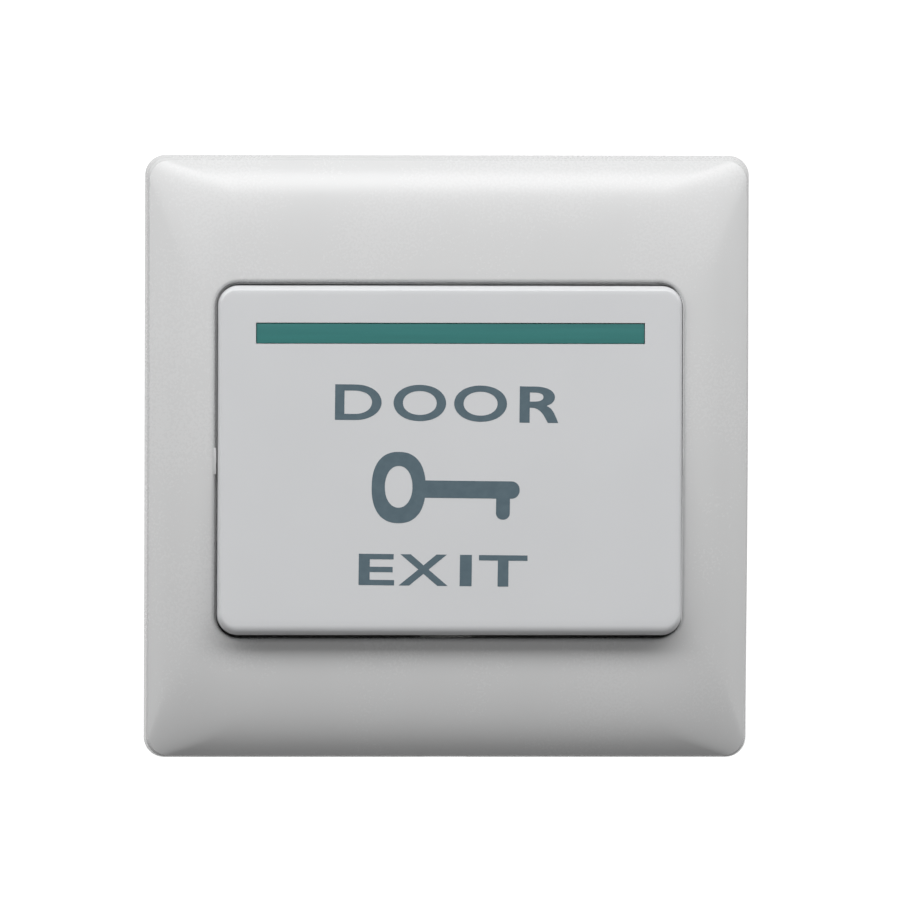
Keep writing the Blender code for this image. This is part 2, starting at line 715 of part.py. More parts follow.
def sheet_windows(bm):
    """The windows that the push plate's stop hooks pass through."""
    top_z, foot_z = hook_stem_span()
    for x in (-HOOK_SPACING / 2, HOOK_SPACING / 2):
        low = (x - HOOK_WIDTH / 2 - RUN_GAP, OVERRUN, foot_z - RUN_GAP)
        high = (x + HOOK_WIDTH / 2 + RUN_GAP, SHEET_FRONT_Y - OVERRUN / 4, top_z + RUN_GAP)
        box(bm, low, high)


def sheet_lug_recesses(bm):
    """The sheet is thinner where the frame's lugs reach under its edge."""
    depth = SEAT_GAP / 3 + LUG_THICKNESS + SEAT_GAP
    for side in (-1, 1):
        for z in (-LUG_SPACING / 2, LUG_SPACING / 2):
            half = LUG_LENGTH / 2 + SEAT_GAP
            low = (side * (SHEET_HALF + OVERRUN), OVERRUN, z - half)
            high = (side * (FRAME_INSIDE - LUG_REACH - SEAT_GAP), -depth, z + half)
            box(bm, low, high)


def make_mounting_plate(materials):
    plate = piece("mounting_plate", sheet, materials["chassis"])
    add(plate, collar)
    add(plate, sheet_ears)
    add(plate, sheet_bush)
    add(plate, sheet_cups)
    cut(plate, sheet_ear_holes)
    cut(plate, sheet_cup_hollows)
    cut(plate, sheet_head_rooms)
    cut(plate, sheet_fixing_slots)
    cut(plate, sheet_holes)
    cut(plate, sheet_windows)
    cut(plate, sheet_lug_recesses)


# %% Push plate, drawn pressed and about its hinge axis

def about_hinge(y, z):
    return y - HINGE_Y, z - HINGE_Z


def plate_ring(inset, y, radius):
    """The push plate's outline at depth y, taken in by inset.

    Its lower wall is an arc about the hinge axis, so that the gap below it stays the same
    as the plate turns.
    """
    reach = HINGE_Z - PLATE_BOTTOM_Z
    from_axis = y - HINGE_Y
    bottom = HINGE_Z - math.sqrt(reach * reach - from_axis * from_axis)
    back = PLATE_FACE_Y + PLATE_SKIRT_DEPTH
    draft = PLATE_DRAFT * (back - y) / PLATE_SKIRT_DEPTH
    top = PLATE_TOP_Z - inset - draft
    bottom += inset + draft
    half_x = PLATE_HALF_WIDTH - inset - draft
    centre_y, centre_z = about_hinge(y, (top + bottom) / 2)
    return rounded_rectangle(half_x, (top - bottom) / 2, radius, centre_y, 0.0, centre_z)


def plate_shell(bm):
    back = PLATE_FACE_Y + PLATE_SKIRT_DEPTH
    inner_corner = PLATE_CORNER - PLATE_SKIRT_WALL
    rings = [
        plate_ring(PLATE_SKIRT_WALL, PLATE_INNER_Y, inner_corner),
        plate_ring(PLATE_SKIRT_WALL, back, inner_corner),
        plate_ring(0.0, back, PLATE_CORNER),
    ]
    for step in range(EDGE_STEPS + 2):
        angle = math.radians(90 * step / (EDGE_STEPS + 1))
        inset = PLATE_EDGE * (1 - math.cos(angle))
        y = PLATE_FACE_Y + PLATE_EDGE * (1 - math.sin(angle))
        rings.append(plate_ring(inset, y, PLATE_CORNER - inset))
    loft(bm, rings)


def plate_ribs(bm):
    """The upright ribs behind the face."""
    front, _ = about_hinge(PLATE_INNER_Y - WELD, 0.0)
    back, _ = about_hinge(PLATE_INNER_Y + RIB_DEPTH, 0.0)
    _, top = about_hinge(0.0, PLATE_TOP_Z - PLATE_SKIRT_WALL / 2)
    _, bottom = about_hinge(0.0, PLATE_BOTTOM_Z + PLATE_SKIRT_WALL + WELD)
    for x in (-RIB_SPACING, RIB_SPACING):
        box(bm, (x - RIB_WALL / 2, front, bottom), (x + RIB_WALL / 2, back, top))


def plate_cross_ribs(bm):
    """The level ribs behind the face, one of them through the pusher."""
    reach = PLATE_HALF_WIDTH - PLATE_SKIRT_WALL / 2
    front, _ = about_hinge(PLATE_INNER_Y - WELD, 0.0)
    back, _ = about_hinge(PLATE_INNER_Y + RIB_DEPTH, 0.0)
    _, pusher = about_hinge(0.0, PLUNGER_Z)
    for z in (pusher, -CROSS_RIB_DROP):
        box(bm, (-reach, front, z - RIB_WALL / 2), (reach, back, z + RIB_WALL / 2))


def plate_ears(bm):
    """The ears that reach back from the face to the hinge axis."""
    front, _ = about_hinge(PLATE_INNER_Y - WELD, 0.0)
    radius = PIN_RADIUS + PLATE_EAR_RIM
    outline = bracket_outline(radius, front, 0.0, 0.0)
    for side in (-1, 1):
        outside = side * PLATE_EAR_OUTSIDE
        prism(bm, outline, outside - side * PLATE_EAR_WALL, outside)


def plate_pins(bm):
    for side in (-1, 1):
        inside = side * (PLATE_EAR_OUTSIDE - WELD)
        outside = side * (PLATE_EAR_OUTSIDE + PIN_LENGTH)
        turned(bm, [(PIN_RADIUS, inside), (PIN_RADIUS, outside)], (0.0, 0.0), SMALL_SIDES, "X")


def plate_pusher(bm):
    """The round boss that presses the plunger."""
    front, axis_z = about_hinge(PLATE_INNER_Y - WELD, PLUNGER_Z)
    end, _ = about_hinge(PUSHER_END_Y, 0.0)
    turned(bm, [(PUSHER_RADIUS, front), (PUSHER_RADIUS, end)], (0.0, axis_z))


def plate_pegs(bm):
    """The pegs that centre the return springs."""
    radius = PLATE_SPRING_RADIUS - PLATE_SPRING_WIRE - PEG_GAP
    front, axis_z = about_hinge(PLATE_INNER_Y - WELD, PLATE_SPRING_Z)
    end, _ = about_hinge(PLATE_INNER_Y + PEG_LENGTH, 0.0)
    for x in (-PLATE_SPRING_X, PLATE_SPRING_X):
        turned(bm, [(radius, front), (radius, end)], (x, axis_z), SMALL_SIDES)


def hook_centre_z():
    return PLATE_BOTTOM_Z + HOOK_RISE


def hook_catch_y():
    """Depth of the hooks' catching face when pressed, so that at rest it lies behind the sheet."""
    reach = HINGE_Z - hook_centre_z()
    return SEAT_GAP + reach * math.sin(REST_TILT)


def hook_stem_span():
    """The highest and lowest z of a stem within the sheet, over the whole travel."""
    half = HOOK_STEM / 2
    centre = hook_centre_z()
    reach = HINGE_Z - centre
    swing = (hook_catch_y() - HINGE_Y) * math.sin(REST_TILT)
    return centre + half, centre - half - swing + reach * (1 - math.cos(REST_TILT))


def plate_hooks(bm):
    front, centre_z = about_hinge(PLATE_INNER_Y - WELD, hook_centre_z())
    catch, _ = about_hinge(hook_catch_y(), 0.0)
    half = HOOK_STEM / 2
    outline = [
        (front, centre_z + half),
        (catch + HOOK_HEAD, centre_z + half),
        (catch + HOOK_HEAD, centre_z - half),
        (catch + HOOK_HEAD / 3, centre_z - half - HOOK_BARB),
        (catch, centre_z - half - HOOK_BARB),
        (catch, centre_z - half),
        (front, centre_z - half),
    ]
    for x in (-HOOK_SPACING / 2, HOOK_SPACING / 2):
        prism(bm, outline, x - HOOK_WIDTH / 2, x + HOOK_WIDTH / 2)


def strip_centre_z():
    return PLATE_TOP_Z - STRIP_FROM_TOP - STRIP_HEIGHT / 2


def plate_strip_pocket(bm):
    """The pocket in the face for the luminous strip."""
    front, centre_z = about_hinge(PLATE_FACE_Y - OVERRUN, strip_centre_z())
    floor, _ = about_hinge(PLATE_FACE_Y + STRIP_SUNK + STRIP_THICKNESS + SEAT_GAP / 3, 0.0)
    half_x = STRIP_HALF_LENGTH + STRIP_FIT
    half_z = STRIP_HEIGHT / 2 + STRIP_FIT
    box(bm, (-half_x, front, centre_z - half_z), (half_x, floor, centre_z + half_z))


def make_push_plate(materials, axis):
    plate = piece("push_plate", plate_shell, materials["plate_abs"], axis)
    add(plate, plate_ribs)
    add(plate, plate_cross_ribs)
    add(plate, plate_ears)
    add(plate, plate_pins)
    add(plate, plate_pusher)
    add(plate, plate_pegs)
    add(plate, plate_hooks)
    cut(plate, plate_strip_pocket)


def make_luminous_strip(materials, axis):
    front, centre_z = about_hinge(PLATE_FACE_Y + STRIP_SUNK, strip_centre_z())
    back = front + STRIP_THICKNESS
    low = (-STRIP_HALF_LENGTH, front, centre_z - STRIP_HEIGHT / 2)
    high = (STRIP_HALF_LENGTH, back, centre_z + STRIP_HEIGHT / 2)
    piece("luminous_strip", lambda bm: box(bm, low, high), materials["teal"], axis)


# %% Springs, plunger and contact bridge

def make_plate_springs(materials):
    """The springs between the mounting plate's cups and the push plate at rest."""
    plate_y, _ = resting(PLATE_INNER_Y, PLATE_SPRING_Z + PLATE_SPRING_RADIUS)
    front = plate_y + SEAT_GAP
    back = SHEET_FRONT_Y - SEAT_GAP
    for label, side in (("left", -1), ("right", 1)):
        place = (side * PLATE_SPRING_X, 0.0, PLATE_SPRING_Z)
        piece(
            f"plate_spring_{label}",
            lambda bm: coil(
                bm, PLATE_SPRING_RADIUS, PLATE_SPRING_WIRE, front, back, PLATE_SPRING_TURNS
            ),
            materials["steel"],
            None,
            place,
        )


def plunger_profile():
    """(radius, y) down the plunger, from the crown of its dome to its pilot."""
    pusher_y, _ = resting(PUSHER_END_Y, PLUNGER_Z)
    crown = pusher_y + SEAT_GAP
    profile = []
    for step in range(EDGE_STEPS + 1):
        angle = DOME_START + (math.radians(90) - DOME_START) * step / EDGE_STEPS
        y = crown + DOME_HEIGHT * (1 - math.cos(angle))
        profile.append((PLUNGER_RADIUS * math.sin(angle), y))
    profile += [
        (PLUNGER_RADIUS, FLANGE_FRONT_Y),
        (FLANGE_RADIUS, FLANGE_FRONT_Y),
        (FLANGE_RADIUS, FLANGE_BACK_Y),
        (STEM_RADIUS, FLANGE_BACK_Y),
        (STEM_RADIUS, STEM_HEAD_Y),
        (STEM_HEAD_RADIUS, STEM_HEAD_Y),
        (STEM_HEAD_RADIUS, STEM_END_Y),
        (PILOT_RADIUS, STEM_END_Y),
        (PILOT_RADIUS, STEM_END_Y + PILOT_LENGTH),
    ]
    return profile


def bridge_bar(bm):
    half_x = BRIDGE_LENGTH / 2
    half_z = BRIDGE_HEIGHT / 2
    corner = BRIDGE_HEIGHT / 4
    ends = (BRIDGE_FRONT_Y, BRIDGE_BACK_Y)
    loft(bm, [rounded_rectangle(half_x, half_z, corner, y) for y in ends])


def bridge_holes(bm):
    ends = (BRIDGE_FRONT_Y - OVERRUN, BRIDGE_BACK_Y + OVERRUN)
    turned(bm, [(STEM_RADIUS + RUN_GAP, y) for y in ends], sides=SMALL_SIDES)
    for x in (-CONTACT_SPACING / 2, CONTACT_SPACING / 2):
        turned(bm, [(SHANK_RADIUS + SEAT_GAP, y) for y in ends], (x, 0.0), SMALL_SIDES)


def rivet(bm, head_y, face_y, shank_end_y):
    """A contact rivet: a low head from head_y to face_y and a shank to shank_end_y."""
    low_edge = face_y + (head_y - face_y) / 4
    profile = [
        (SHANK_RADIUS, shank_end_y),
        (SHANK_RADIUS, head_y),
        (CONTACT_RADIUS, head_y),
        (CONTACT_RADIUS, low_edge),
        (CONTACT_RADIUS - CONTACT_THICKNESS / 2, face_y),
    ]
    turned(bm, profile, sides=SMALL_SIDES)


def make_plunger_group(materials):
    centre = (0.0, 0.0, PLUNGER_Z)
    piece("plunger", lambda bm: turned(bm, plunger_profile()), materials["acetal"], None, centre)
    bridge = piece("contact_bridge", bridge_bar, materials["brass"], None, centre)
    cut(bridge, bridge_holes)
    front = FLANGE_BACK_Y + SEAT_GAP
    piece(
        "contact_spring",
        lambda bm: coil(
            bm,
            CONTACT_SPRING_RADIUS,
            CONTACT_SPRING_WIRE,
            front,
            front + CONTACT_SPRING_LENGTH,
            CONTACT_SPRING_TURNS,
        ),
        materials["steel"],
        None,
        centre,
    )
    piece(
        "return_spring",
        lambda bm: coil(
            bm,
            RETURN_SPRING_RADIUS,
            RETURN_SPRING_WIRE,
            STEM_END_Y + SEAT_GAP,
            SPRING_POCKET_Y - SEAT_GAP,
            RETURN_SPRING_TURNS,
        ),
        materials["steel"],
        None,
        centre,
    )
    for label, side in (("com", -1), ("no", 1)):
        place = (side * CONTACT_SPACING / 2, 0.0, PLUNGER_Z)
        piece(
            f"moving_contact_{label}",
            lambda bm: rivet(
                bm, BRIDGE_BACK_Y + SEAT_GAP, MOVING_CONTACT_BACK_Y, BRIDGE_FRONT_Y
            ),
            materials["contact"],
            None,
            place,
        )


# %% Terminals

def terminal_strip(bm, side):
    """A brass strip under the screw, with its outer end bent up as a wire stop."""
    inner = CONTACT_SPACING / 2 - CONTACT_RADIUS
    outer = TERMINAL_OUTER_X
    top = TERMINAL_BACK_Y + TERMINAL_LUG_HEIGHT
    outline = [(inner, TERMINAL_FRONT_Y)]
    bend = BEND_RADIUS + STRIP_METAL
    for step in range(EDGE_STEPS + 1):
        angle = math.radians(90 * step / EDGE_STEPS)
        x = outer - bend + bend * math.sin(angle)
        outline.append((x, TERMINAL_FRONT_Y + bend - bend * math.cos(angle)))
    outline += [(outer, top), (outer - STRIP_METAL, top)]
    for step in range(EDGE_STEPS, -1, -1):
        angle = math.radians(90 * step / EDGE_STEPS)
        x = outer - bend + BEND_RADIUS * math.sin(angle)
        outline.append((x, TERMINAL_FRONT_Y + bend - BEND_RADIUS * math.cos(angle)))
    outline.append((inner, TERMINAL_BACK_Y))
    half = TERMINAL_WIDTH / 2
    loft(bm, [[Vector((side * x, y, z)) for x, y in outline] for z in (-half, half)])


def terminal_holes(bm, side):
    ends = (TERMINAL_FRONT_Y - OVERRUN, TERMINAL_BACK_Y + OVERRUN)
    contact = (side * CONTACT_SPACING / 2, 0.0)
    turned(bm, [(SHANK_RADIUS + SEAT_GAP, y) for y in ends], contact, SMALL_SIDES)
    screw = (side * TERMINAL_SCREW_X, 0.0)
    turned(bm, [(TERMINAL_SCREW_RADIUS + SEAT_GAP, y) for y in ends], screw, SMALL_SIDES)


def clamp_block(bm):
    half = CLAMP_SIZE / 2
    corner = CLAMP_THICKNESS / 2
    loft(bm, [rounded_rectangle(half, half, corner, y) for y in (CLAMP_FRONT_Y, CLAMP_BACK_Y)])


def clamp_hole(bm):
    ends = (CLAMP_FRONT_Y - OVERRUN, CLAMP_BACK_Y + OVERRUN)
    turned(bm, [(TERMINAL_SCREW_RADIUS + SEAT_GAP, y) for y in ends], sides=SMALL_SIDES)


def screw_body(bm, shank, length, head, thickness, seat_y, toward):
    """A pan-head screw along Y. toward is +1 if the head looks into the wall, else -1."""
    tip = seat_y - toward * length
    point = shank * SCREW_POINT_SHARE
    rise = toward * thickness
    profile = [
        (point, tip),
        (shank, tip + toward * point),
        (shank, seat_y),
        (head, seat_y),
        (head, seat_y + rise * HEAD_RIM_SHARE),
        (head * HEAD_SHOULDER_SHARE, seat_y + rise * HEAD_SHOULDER_HEIGHT_SHARE),
        (head * HEAD_CROWN_SHARE, seat_y + rise),
    ]
    turned(bm, profile, sides=SMALL_SIDES)


def driver_slot(bm, head, thickness, seat_y, toward):
    top = seat_y + toward * thickness
    low = (-head - OVERRUN, top + toward * OVERRUN, -DRIVER_SLOT_WIDTH / 2)
    high = (head + OVERRUN, top - toward * DRIVER_SLOT_DEPTH, DRIVER_SLOT_WIDTH / 2)
    box(bm, low, high)


def make_screw(name, shank, length, head, thickness, seat_y, toward, place, material):
    screw = piece(
        name,
        lambda bm: screw_body(bm, shank, length, head, thickness, seat_y, toward),
        material,
        None,
        place,
    )
    cut(screw, lambda bm: driver_slot(bm, head, thickness, seat_y, toward))


def make_terminals(materials):
    for label, side in (("com", -1), ("no", 1)):
        centre = (0.0, 0.0, PLUNGER_Z)
        strip = piece(
            f"terminal_{label}",
            lambda bm: terminal_strip(bm, side),
            materials["brass"],
            None,
            centre,
        )
        cut(strip, lambda bm: terminal_holes(bm, side))
        piece(
            f"fixed_contact_{label}",
            lambda bm: rivet(
                bm,
                FIXED_CONTACT_FRONT_Y + CONTACT_THICKNESS,
                FIXED_CONTACT_FRONT_Y,
                TERMINAL_BACK_Y,
            ),
            materials["contact"],
            None,
            (side * CONTACT_SPACING / 2, 0.0, PLUNGER_Z),
        )
        place = (side * TERMINAL_SCREW_X, 0.0, PLUNGER_Z)
        clamp = piece(f"clamp_plate_{label}", clamp_block, materials["steel"], None, place)
        cut(clamp, clamp_hole)
        make_screw(
            f"terminal_screw_{label}",
            TERMINAL_SCREW_RADIUS,
            TERMINAL_SCREW_LENGTH,
            TERMINAL_HEAD_RADIUS,
            TERMINAL_HEAD_THICKNESS,
            TERMINAL_HEAD_FRONT_Y,
            1,
            place,
            materials["steel"],
        )


# %% Switch housing, drawn about the plunger's axis

def housing_block(bm):
    half_x = HOUSING_HALF_X
    half_z = HOUSING_HALF_Z
    edge = HOUSING_EDGE
    rings = [
        rounded_rectangle(half_x, half_z, HOUSING_CORNER, HOUSING_FRONT_Y),
        rounded_rectangle(half_x, half_z, HOUSING_CORNER, HOUSING_BACK_Y - edge),
        rounded_rectangle(half_x - edge, half_z - edge, HOUSING_CORNER - edge, HOUSING_BACK_Y),
    ]
    loft(bm, rings)


def housing_ears(bm):
    """The ear above and below the block, each with a boss for its screw."""
    flange_back = HOUSING_FRONT_Y + HOUSING_EAR_THICKNESS
    half_z = HOUSING_SCREW_Z + HOUSING_EAR_RADIUS
    ends = (HOUSING_FRONT_Y, flange_back)
    corner = HOUSING_EAR_RADIUS - ROUND_END_TRIM
    loft(bm, [rounded_rectangle(HOUSING_EAR_RADIUS, half_z, corner, y) for y in ends])


def housing_bosses(bm):
    start = HOUSING_FRONT_Y + HOUSING_EAR_THICKNESS - WELD
    end = HOUSING_FRONT_Y + HOUSING_SCREW_LENGTH + WELD
    for z in (-HOUSING_SCREW_Z, HOUSING_SCREW_Z):
        turned(bm, [(HOUSING_BOSS_RADIUS, start), (HOUSING_BOSS_RADIUS, end)], (0.0, z))


def housing_chamber(bm):
    """The contact chamber, open to the front, with the return spring's pocket in its floor."""
    low = (-CHAMBER_HALF_X, HOUSING_FRONT_Y - OVERRUN, -CHAMBER_HALF_Z)
    high = (CHAMBER_HALF_X, CHAMBER_FLOOR_Y, CHAMBER_HALF_Z)
    box(bm, low, high)


def housing_spring_pocket(bm):
    radius = RETURN_SPRING_RADIUS + RUN_GAP
    ends = (CHAMBER_FLOOR_Y - OVERRUN, SPRING_POCKET_Y)
    turned(bm, [(radius, y) for y in ends], sides=SMALL_SIDES)


def housing_wells(bm):
    """The terminal wells, open to the back."""
    for side in (-1, 1):
        low = (side * WELL_INNER_X, WELL_FLOOR_Y, -CHAMBER_HALF_Z)
        high = (side * WELL_OUTER_X, HOUSING_BACK_Y + OVERRUN, CHAMBER_HALF_Z)
        box(bm, low, high)


def housing_cores(bm):
    """The hollows in front of the wells, which keep the moulding's walls even."""
    for side in (-1, 1):
        low = (side * WELL_INNER_X, HOUSING_FRONT_Y - OVERRUN, -CHAMBER_HALF_Z)
        high = (side * WELL_OUTER_X, WELL_FLOOR_Y - CORE_FLOOR, CHAMBER_HALF_Z)
        box(bm, low, high)


def housing_strip_slots(bm):
    """The slot through each partition for its terminal strip."""
    half = TERMINAL_WIDTH / 2 + SEAT_GAP
    for side in (-1, 1):
        low = (side * (CHAMBER_HALF_X - OVERRUN / 2), WELL_FLOOR_Y, -half)
        high = (side * (WELL_INNER_X + OVERRUN / 2), CHAMBER_FLOOR_Y, half)
        box(bm, low, high)


def housing_screw_holes(bm):
    """Holes for the housing screws, and room for the tips of the terminal screws."""
    radius = HOUSING_SCREW_RADIUS + SEAT_GAP
    ends = (HOUSING_FRONT_Y - OVERRUN, HOUSING_FRONT_Y + HOUSING_SCREW_LENGTH + OVERRUN)
    for z in (-HOUSING_SCREW_Z, HOUSING_SCREW_Z):
        turned(bm, [(radius, y) for y in ends], (0.0, z), SMALL_SIDES)
    radius = TERMINAL_SCREW_RADIUS + RUN_GAP
    ends = (WELL_FLOOR_Y - CORE_FLOOR - OVERRUN, WELL_FLOOR_Y + OVERRUN)
    for x in (-TERMINAL_SCREW_X, TERMINAL_SCREW_X):
        turned(bm, [(radius, y) for y in ends], (x, 0.0), SMALL_SIDES)


def housing_wire_notches(bm):
    """The notch in the lower wall of each well, where a wire comes in."""
    half = WIRE_NOTCH_WIDTH / 2
    for x in (-TERMINAL_SCREW_X, TERMINAL_SCREW_X):
        low = (x - half, TERMINAL_BACK_Y, -HOUSING_HALF_Z - OVERRUN)
        high = (x + half, HOUSING_BACK_Y + OVERRUN, -CHAMBER_HALF_Z + OVERRUN)
        box(bm, low, high)


def make_switch_housing(materials):
    centre = (0.0, 0.0, PLUNGER_Z)
    housing = piece("switch_housing", housing_block, materials["block"], None, centre)
    add(housing, housing_ears)
    add(housing, housing_bosses)
    cut(housing, housing_chamber)
    cut(housing, housing_wells)
    cut(housing, housing_cores)
    cut(housing, housing_strip_slots)
    cut(housing, housing_spring_pocket)
    cut(housing, housing_screw_holes)
    cut(housing, housing_wire_notches)
    for label, side in (("top", 1), ("bottom", -1)):
        make_screw(
            f"housing_screw_{label}",
            HOUSING_SCREW_RADIUS,
            HOUSING_SCREW_LENGTH,
            HOUSING_HEAD_RADIUS,
            HOUSING_HEAD_THICKNESS,
            SHEET_FRONT_Y - SEAT_GAP,
            -1,
            (0.0, 0.0, PLUNGER_Z + side * HOUSING_SCREW_Z),
            materials["steel"],
        )


# %% The whole button

def clear_scene():
    for item in list(bpy.data.objects):
        bpy.data.objects.remove(item, do_unlink=True)


def main():
    clear_scene()
    materials = make_materials()
    axis = hinge_axis()
    make_outer_frame(materials)
    make_mounting_plate(materials)
    make_push_plate(materials, axis)
    make_luminous_strip(materials, axis)
    make_plate_springs(materials)
    make_plunger_group(materials)
    make_terminals(materials)
    make_switch_housing(materials)


main()
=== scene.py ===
# %% [markdown]
# # A door exit button, dressed piece by piece
#
# The button is a square wall plate with a large push plate. The engineering model already
# has every part at its right place and size, so this lesson only makes the parts look real:
# finer rounding, crisp printed marks, screws with threads and plastics with a fine grain.
#
# X runs to the right, Z up, and Y into the wall. All sizes are in metres.

import math

import bpy
from mathutils import Euler, Matrix, Vector


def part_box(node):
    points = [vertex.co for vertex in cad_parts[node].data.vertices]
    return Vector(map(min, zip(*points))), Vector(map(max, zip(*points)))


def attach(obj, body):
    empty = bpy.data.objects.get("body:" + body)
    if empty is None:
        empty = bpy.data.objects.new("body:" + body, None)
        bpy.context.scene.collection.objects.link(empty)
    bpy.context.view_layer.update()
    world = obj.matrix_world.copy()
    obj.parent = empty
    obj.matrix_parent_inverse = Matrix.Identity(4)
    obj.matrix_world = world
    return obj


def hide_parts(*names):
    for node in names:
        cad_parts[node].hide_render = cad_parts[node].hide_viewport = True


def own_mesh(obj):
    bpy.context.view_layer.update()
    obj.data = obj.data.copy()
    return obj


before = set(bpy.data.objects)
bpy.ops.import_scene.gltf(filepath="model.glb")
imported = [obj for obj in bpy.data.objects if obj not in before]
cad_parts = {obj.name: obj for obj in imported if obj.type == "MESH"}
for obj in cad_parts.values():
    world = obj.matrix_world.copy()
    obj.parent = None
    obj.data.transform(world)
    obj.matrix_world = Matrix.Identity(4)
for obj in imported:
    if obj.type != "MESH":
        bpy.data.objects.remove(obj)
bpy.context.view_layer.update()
MM = 0.001

# %% [markdown]
# ## Small tools for modelling by hand
#
# An operator works on whatever is selected, so each step starts with nothing selected. The
# next cell holds the few moves that every piece needs: clear the selection, open a piece for
# editing, and apply a modifier.


# %% Selection and modifiers
def start_clean():
    if bpy.context.object and bpy.context.object.mode != "OBJECT":
        bpy.ops.object.mode_set(mode="OBJECT")
    bpy.ops.object.select_all(action="DESELECT")


def make_active(piece):
    start_clean()
    piece.select_set(True)
    bpy.context.view_layer.objects.active = piece


def edit_all(piece):
    """Opens the piece in edit mode with every vertex selected."""
    make_active(piece)
    bpy.context.tool_settings.mesh_select_mode = (True, False, False)
    bpy.ops.object.mode_set(mode="EDIT")
    bpy.ops.mesh.select_all(action="SELECT")


def leave_edit():
    bpy.ops.object.mode_set(mode="OBJECT")


def new_object(name, data):
    made = bpy.data.objects.new(name, data)
    bpy.context.scene.collection.objects.link(made)
    return made


def apply_place():
    bpy.ops.object.transform_apply(location=True, rotation=True, scale=True)


def apply_modifier(piece, kind, **settings):
    make_active(piece)
    modifier = piece.modifiers.new("step", kind)
    for name, value in settings.items():
        setattr(modifier, name, value)
    bpy.ops.object.modifier_apply(modifier=modifier.name)


def soften(piece, width, segments=2, angle=30):
    """A small round on every real edge, as a mould leaves it."""
    apply_modifier(
        piece, "BEVEL", width=width, segments=segments, limit_method="ANGLE",
        angle_limit=math.radians(angle), harden_normals=False,
    )


def combine(piece, tool, operation):
    """Adds the tool's solid to the piece or cuts it out, and removes the tool."""
    apply_modifier(piece, "BOOLEAN", operation=operation, object=tool, solver="EXACT")
    bpy.data.meshes.remove(tool.data)


def join(name, parts):
    """One piece out of several."""
    start_clean()
    for part in parts:
        part.select_set(True)
    bpy.context.view_layer.objects.active = parts[0]
    if len(parts) > 1:
        bpy.ops.object.join()
    whole = bpy.context.object
    whole.name = whole.data.name = name
    return whole


def smooth(piece, angle=35):
    make_active(piece)
    bpy.ops.object.shade_smooth_by_angle(angle=math.radians(angle))


def close_normals(piece, merge=1e-7):
    """Merges doubled points, then turns every face outwards."""
    edit_all(piece)
    bpy.ops.mesh.remove_doubles(threshold=merge)
    bpy.ops.mesh.select_all(action="SELECT")
    bpy.ops.mesh.normals_make_consistent(inside=False)
    leave_edit()


def hand_over(piece, body, nodes, slot, finish):
    """The piece rides on its body, stands for its CAD nodes and gets its finish."""
    piece.data.materials.clear()
    piece.data.materials.append(finish)
    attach(piece, body)
    if nodes:
        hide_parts(*nodes)
    print(piece.name, len(piece.data.polygons), "faces")


# %% [markdown]
# ## Simple starting shapes
#
# Most of the button's pieces begin as one of four things: a rounded outline, a box, a rod, or
# a line of points that is drawn out or spun round. Each starts from a primitive and is shaped
# in edit mode, so that the same few operators make the whole button.


# %% Outlines, boxes and rods
def outline(half_x, half_z, corner, depth, centre_z=0.0, corner_steps=10, side_steps=1):
    """A rounded rectangle without a face. depth is a function of the height z."""
    start_clean()
    bpy.ops.mesh.primitive_plane_add(size=2, rotation=(math.radians(90), 0, 0))
    ring = bpy.context.object
    ring.scale = (half_x, half_z, 1)
    ring.location.z = centre_z
    apply_place()
    edit_all(ring)
    bpy.ops.mesh.bevel(affect="VERTICES", offset=corner, segments=corner_steps)
    bpy.ops.mesh.select_all(action="SELECT")
    bpy.ops.mesh.delete(type="ONLY_FACE")
    leave_edit()
    if side_steps > 1:
        bpy.context.tool_settings.mesh_select_mode = (False, True, False)
        straight = half_z - corner
        for edge in ring.data.edges:
            first, last = (ring.data.vertices[i].co for i in edge.vertices)
            edge.select = abs(first.z - last.z) > straight and abs(first.x - last.x) < 1e-6
        ring.data.vertices.foreach_set("select", [False] * len(ring.data.vertices))
        bpy.ops.object.mode_set(mode="EDIT")
        bpy.ops.mesh.subdivide(number_cuts=side_steps - 1)
        leave_edit()
    for vertex in ring.data.vertices:
        vertex.co.y = depth(vertex.co.z)
    return ring


def select_rings(places):
    bpy.ops.mesh.select_all(action="DESELECT")
    for place in places:
        bpy.ops.object.vertex_group_set_active(group=f"ring_{place}")
        bpy.ops.object.vertex_group_select()


def bridged(name, rings, closed=False):
    """Joins the outlines into one surface, each to the next, and caps or closes it.

    Bridging pairs the points of two outlines wrongly when they lie only hundredths of a
    millimetre apart, so the stack is enlarged a thousand times for it.
    """
    for place, ring in enumerate(rings):
        group = ring.vertex_groups.new(name=f"ring_{place}")
        group.add([vertex.index for vertex in ring.data.vertices], 1.0, "REPLACE")
    count = len(rings)
    shell = join(name, rings)
    shell.scale = (1000, 1000, 1000)
    apply_place()
    edit_all(shell)
    pairs = [(place, place + 1) for place in range(count - 1)]
    ends = (0, count - 1)
    if closed:
        pairs.append((ends[1], ends[0]))
    for pair in pairs:
        select_rings(pair)
        bpy.ops.mesh.bridge_edge_loops()
    for end in () if closed else ends:
        select_rings([end])
        bpy.ops.mesh.edge_face_add()
    leave_edit()
    shell.vertex_groups.clear()
    shell.scale = (MM, MM, MM)
    apply_place()
    close_normals(shell)
    return shell


def block(low, high):
    """A box between two corners."""
    start_clean()
    middle = [(a + b) / 2 for a, b in zip(low, high)]
    bpy.ops.mesh.primitive_cube_add(size=1, location=middle)
    bpy.context.object.scale = [abs(b - a) for a, b in zip(low, high)]
    apply_place()
    return bpy.context.object


